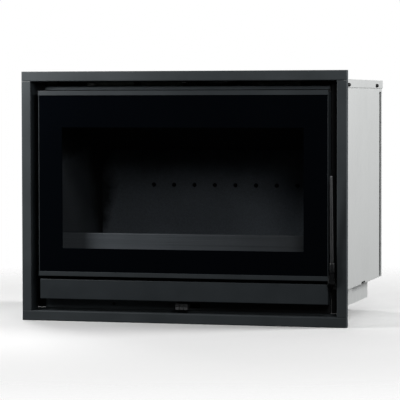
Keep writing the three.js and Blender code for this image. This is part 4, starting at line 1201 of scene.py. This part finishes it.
class INSERT_OT_handle(bpy.types.Operator):
    """Turn the handle: a collar and a slim rod that tapers to a round tip"""

    bl_idname = "insert.handle"
    bl_label = "Handle"

    def execute(self, context):
        collar_low, collar_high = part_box("handle_collar")
        rod_low, rod_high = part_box("handle_rod")
        steel = lined("handle steel", finish().handle, (500.0, 500.0, 8.0), metallic=0.4)
        foot = Vector(((rod_low.x + rod_high.x) / 2, 0, 0))
        length, tilt = self.axis(rod_low, rod_high)
        foot.y = rod_high.y - ROD_FOOT
        foot.z = rod_low.z
        place = placed(foot, tilt)
        tip = ROD_TIP
        profile = [(0, 0), (0.0031, 0), (0.0036, 0.0006), (ROD_FOOT, 0.0014),
                   (0.0036, length * 0.35), (0.0034, length * 0.55), (0.0031, length * 0.78),
                   (tip, length - tip)]
        for step in range(1, 8):
            angle = math.radians(90 * step / 8)
            profile.append((tip * math.cos(angle), length - tip + tip * math.sin(angle)))
        profile.append((0, length))
        rod = turned_piece("lever_rod", profile, 48, place, steel, smooth=50)
        settle(rod, "handle", "handle_steel", "handle_rod")
        self.collar(collar_low, collar_high, tilt)
        return {"FINISHED"}

    def axis(self, low, high):
        """Length of the rod and its forward tilt, from its CAD box."""
        lean = (high.y - ROD_FOOT) - (low.y + ROD_TIP)
        height = high.z - low.z
        return math.hypot(lean, height), math.atan2(lean, height)

    def collar(self, low, high, tilt):
        radius, length = (high.x - low.x) / 2, (high.z - low.z) - 0.0004
        middle = (low + high) / 2
        place = placed(middle, tilt) @ Matrix.Translation((0, 0, -length / 2))
        groove = 0.0005
        profile = [(0, 0), (radius - 0.0012, 0), (radius - 0.0003, 0.0008), (radius, 0.0018)]
        for line in (0.0040, 0.0056):
            profile += [(radius, line), (radius - groove, line + 0.0003),
                        (radius - groove, line + 0.0007), (radius, line + 0.0010)]
        profile += [(radius, length - 0.0050), (radius - 0.0004, length - 0.0030),
                    (radius - 0.0014, length - 0.0006), (radius - 0.0022, length), (0, length)]
        piece = turned_piece("lever_collar", profile, 48, place, black_steel(), smooth=40)
        settle(piece, "handle", "black_steel", "handle_collar")


class INSERT_OT_stage(bpy.types.Operator):
    """Set up the pale floor, the soft lights, the world and the camera"""

    bl_idname = "insert.stage"
    bl_label = "Studio"

    def execute(self, context):
        self.floor()
        self.world(context.scene)
        lights = (
            ("key_light", (-0.97, -0.80, 0.88), (-0.3, -0.25, 0.4), 0.45, studio().key_power),
            ("corner_light", (0.75, -0.90, 1.00), (0.3, -0.25, 0.5), 0.3, studio().corner_power),
            ("front_light", (1.1, -2.2, 1.15), (0.0, 0.1, 0.35), 0.6, studio().front_power),
            ("side_light", (3.6, 1.1, 1.9), (0.3, 0.1, 0.3), 2.0, studio().side_power),
            ("rear_light", (-2.6, 3.0, 2.2), (0, 0.2, 0.3), 2.0, studio().rear_power))
        for name, place, target, size, power in lights:
            self.light(name, place, target, size, power)
        self.camera(context.scene)
        context.scene.view_settings.view_transform = "Standard"
        return {"FINISHED"}

    def floor(self):
        radius = 9.0
        vertices, faces = turned([(0, 0), (radius * 0.3, 0), (radius, 0)], 96,
                                 Matrix.Translation((0, 0, -0.0002)))
        made, tree, skin = plain_material("pale floor")
        tone = tree.noise(tree.place(), 2.0, detail=3.0)
        floor = studio().floor
        tree.link(tree.blend(tone, tint(floor, 0.99), floor), skin.inputs["Base Color"])
        reach = tree.node("ShaderNodeVectorMath", operation="LENGTH")
        tree.link(tree.place(), reach.inputs[0])
        tree.link(tree.spread(reach.outputs["Value"], 0.5, 1.7, 1.0, 0.0), skin.inputs["Alpha"])
        skin.inputs["Roughness"].default_value = 0.9
        skin.inputs["Specular IOR Level"].default_value = 0.1
        piece = new_piece("studio_floor", vertices, faces, [made])
        piece.visible_glossy = False
        piece.visible_diffuse = False

    def world(self, scene):
        """White behind the object, soft light all round, and dark where the glass looks."""
        made = bpy.data.worlds.new("studio")
        made.use_nodes = True
        scene.world = made
        tree = Tree(made.node_tree)
        made.node_tree.nodes.clear()
        look = tree.node("ShaderNodeTexCoord").outputs["Generated"]
        facing = tree.node("ShaderNodeVectorMath", operation="DOT_PRODUCT")
        tree.link(look, facing.inputs[0])
        facing.inputs[1].default_value = (-0.26, -0.965, 0.0)
        flag = tree.spread(facing.outputs["Value"], 0.72, 0.93, studio().ambient, 0.012)
        seen = tree.node("ShaderNodeLightPath").outputs["Is Camera Ray"]
        soft = tree.node("ShaderNodeBackground")
        plain = tree.node("ShaderNodeBackground")
        tree.link(flag, soft.inputs["Strength"])
        plain.inputs["Strength"].default_value = studio().backdrop
        plain.inputs["Color"].default_value = (1, 1, 1, 1)
        mixed = tree.node("ShaderNodeMixShader")
        tree.link(seen, mixed.inputs["Fac"])
        tree.link(soft.outputs["Background"], mixed.inputs[1])
        tree.link(plain.outputs["Background"], mixed.inputs[2])
        out = tree.node("ShaderNodeOutputWorld")
        tree.link(mixed.outputs["Shader"], out.inputs["Surface"])

    def light(self, name, place, target, size, power):
        lamp = bpy.data.lights.new(name, "AREA")
        lamp.shape = "DISK"
        lamp.size = size
        lamp.energy = power
        made = bpy.data.objects.new(name, lamp)
        made.location = place
        aim = Vector(target) - Vector(place)
        made.rotation_euler = aim.to_track_quat("-Z", "Y").to_euler()
        made.visible_camera = False
        bpy.context.scene.collection.objects.link(made)

    def camera(self, scene):
        lens = bpy.data.cameras.new("camera")
        lens.sensor_width = 36.0
        lens.lens = studio().lens
        made = bpy.data.objects.new("camera", lens)
        made.matrix_world = (
            Matrix.Translation(Vector(studio().camera_place))
            @ Matrix.Rotation(studio().camera_yaw, 4, "Z")
            @ Matrix.Rotation(math.pi / 2 - studio().camera_pitch, 4, "X")
            @ Matrix.Rotation(studio().camera_roll, 4, "Z"))
        scene.collection.objects.link(made)
        scene.camera = made


# ------------------------------------------------------------------ panel and start


STEPS = (
    INSERT_OT_surround, INSERT_OT_firebox_front, INSERT_OT_casing, INSERT_OT_bolts,
    INSERT_OT_feet, INSERT_OT_firebox, INSERT_OT_hearth, INSERT_OT_flue_collar,
    INSERT_OT_ash_drawer, INSERT_OT_air_control, INSERT_OT_door, INSERT_OT_glass,
    INSERT_OT_seals, INSERT_OT_hinges, INSERT_OT_latch, INSERT_OT_handle, INSERT_OT_stage,
)


class INSERT_PT_looks(bpy.types.Panel):
    """Lists the insert's pieces and settings"""

    bl_idname = "INSERT_PT_looks"
    bl_label = "Fireplace insert"
    bl_space_type = "VIEW_3D"
    bl_region_type = "UI"
    bl_category = "Fireplace"

    def draw(self, context):
        for step in STEPS:
            self.layout.operator(step.bl_idname)
        for group in (sizes(), finish(), studio()):
            box = self.layout.box()
            for name in group.__annotations__:
                box.prop(group, name)


GROUPS = (InsertSizes, InsertFinish, InsertStudio)
SETTINGS = {
    "insert_sizes": InsertSizes,
    "insert_finish": InsertFinish,
    "insert_studio": InsertStudio,
}


def register():
    for made in (*GROUPS, *STEPS, INSERT_PT_looks):
        bpy.utils.register_class(made)
    for name, group in SETTINGS.items():
        setattr(bpy.types.Scene, name, PointerProperty(type=group))


def unregister():
    for name in SETTINGS:
        delattr(bpy.types.Scene, name)
    for made in reversed((*GROUPS, *STEPS, INSERT_PT_looks)):
        bpy.utils.unregister_class(made)


def main():
    register()
    for step in STEPS:
        getattr(bpy.ops.insert, step.bl_idname.split(".")[1])()


if __name__ == "__main__":
    main()
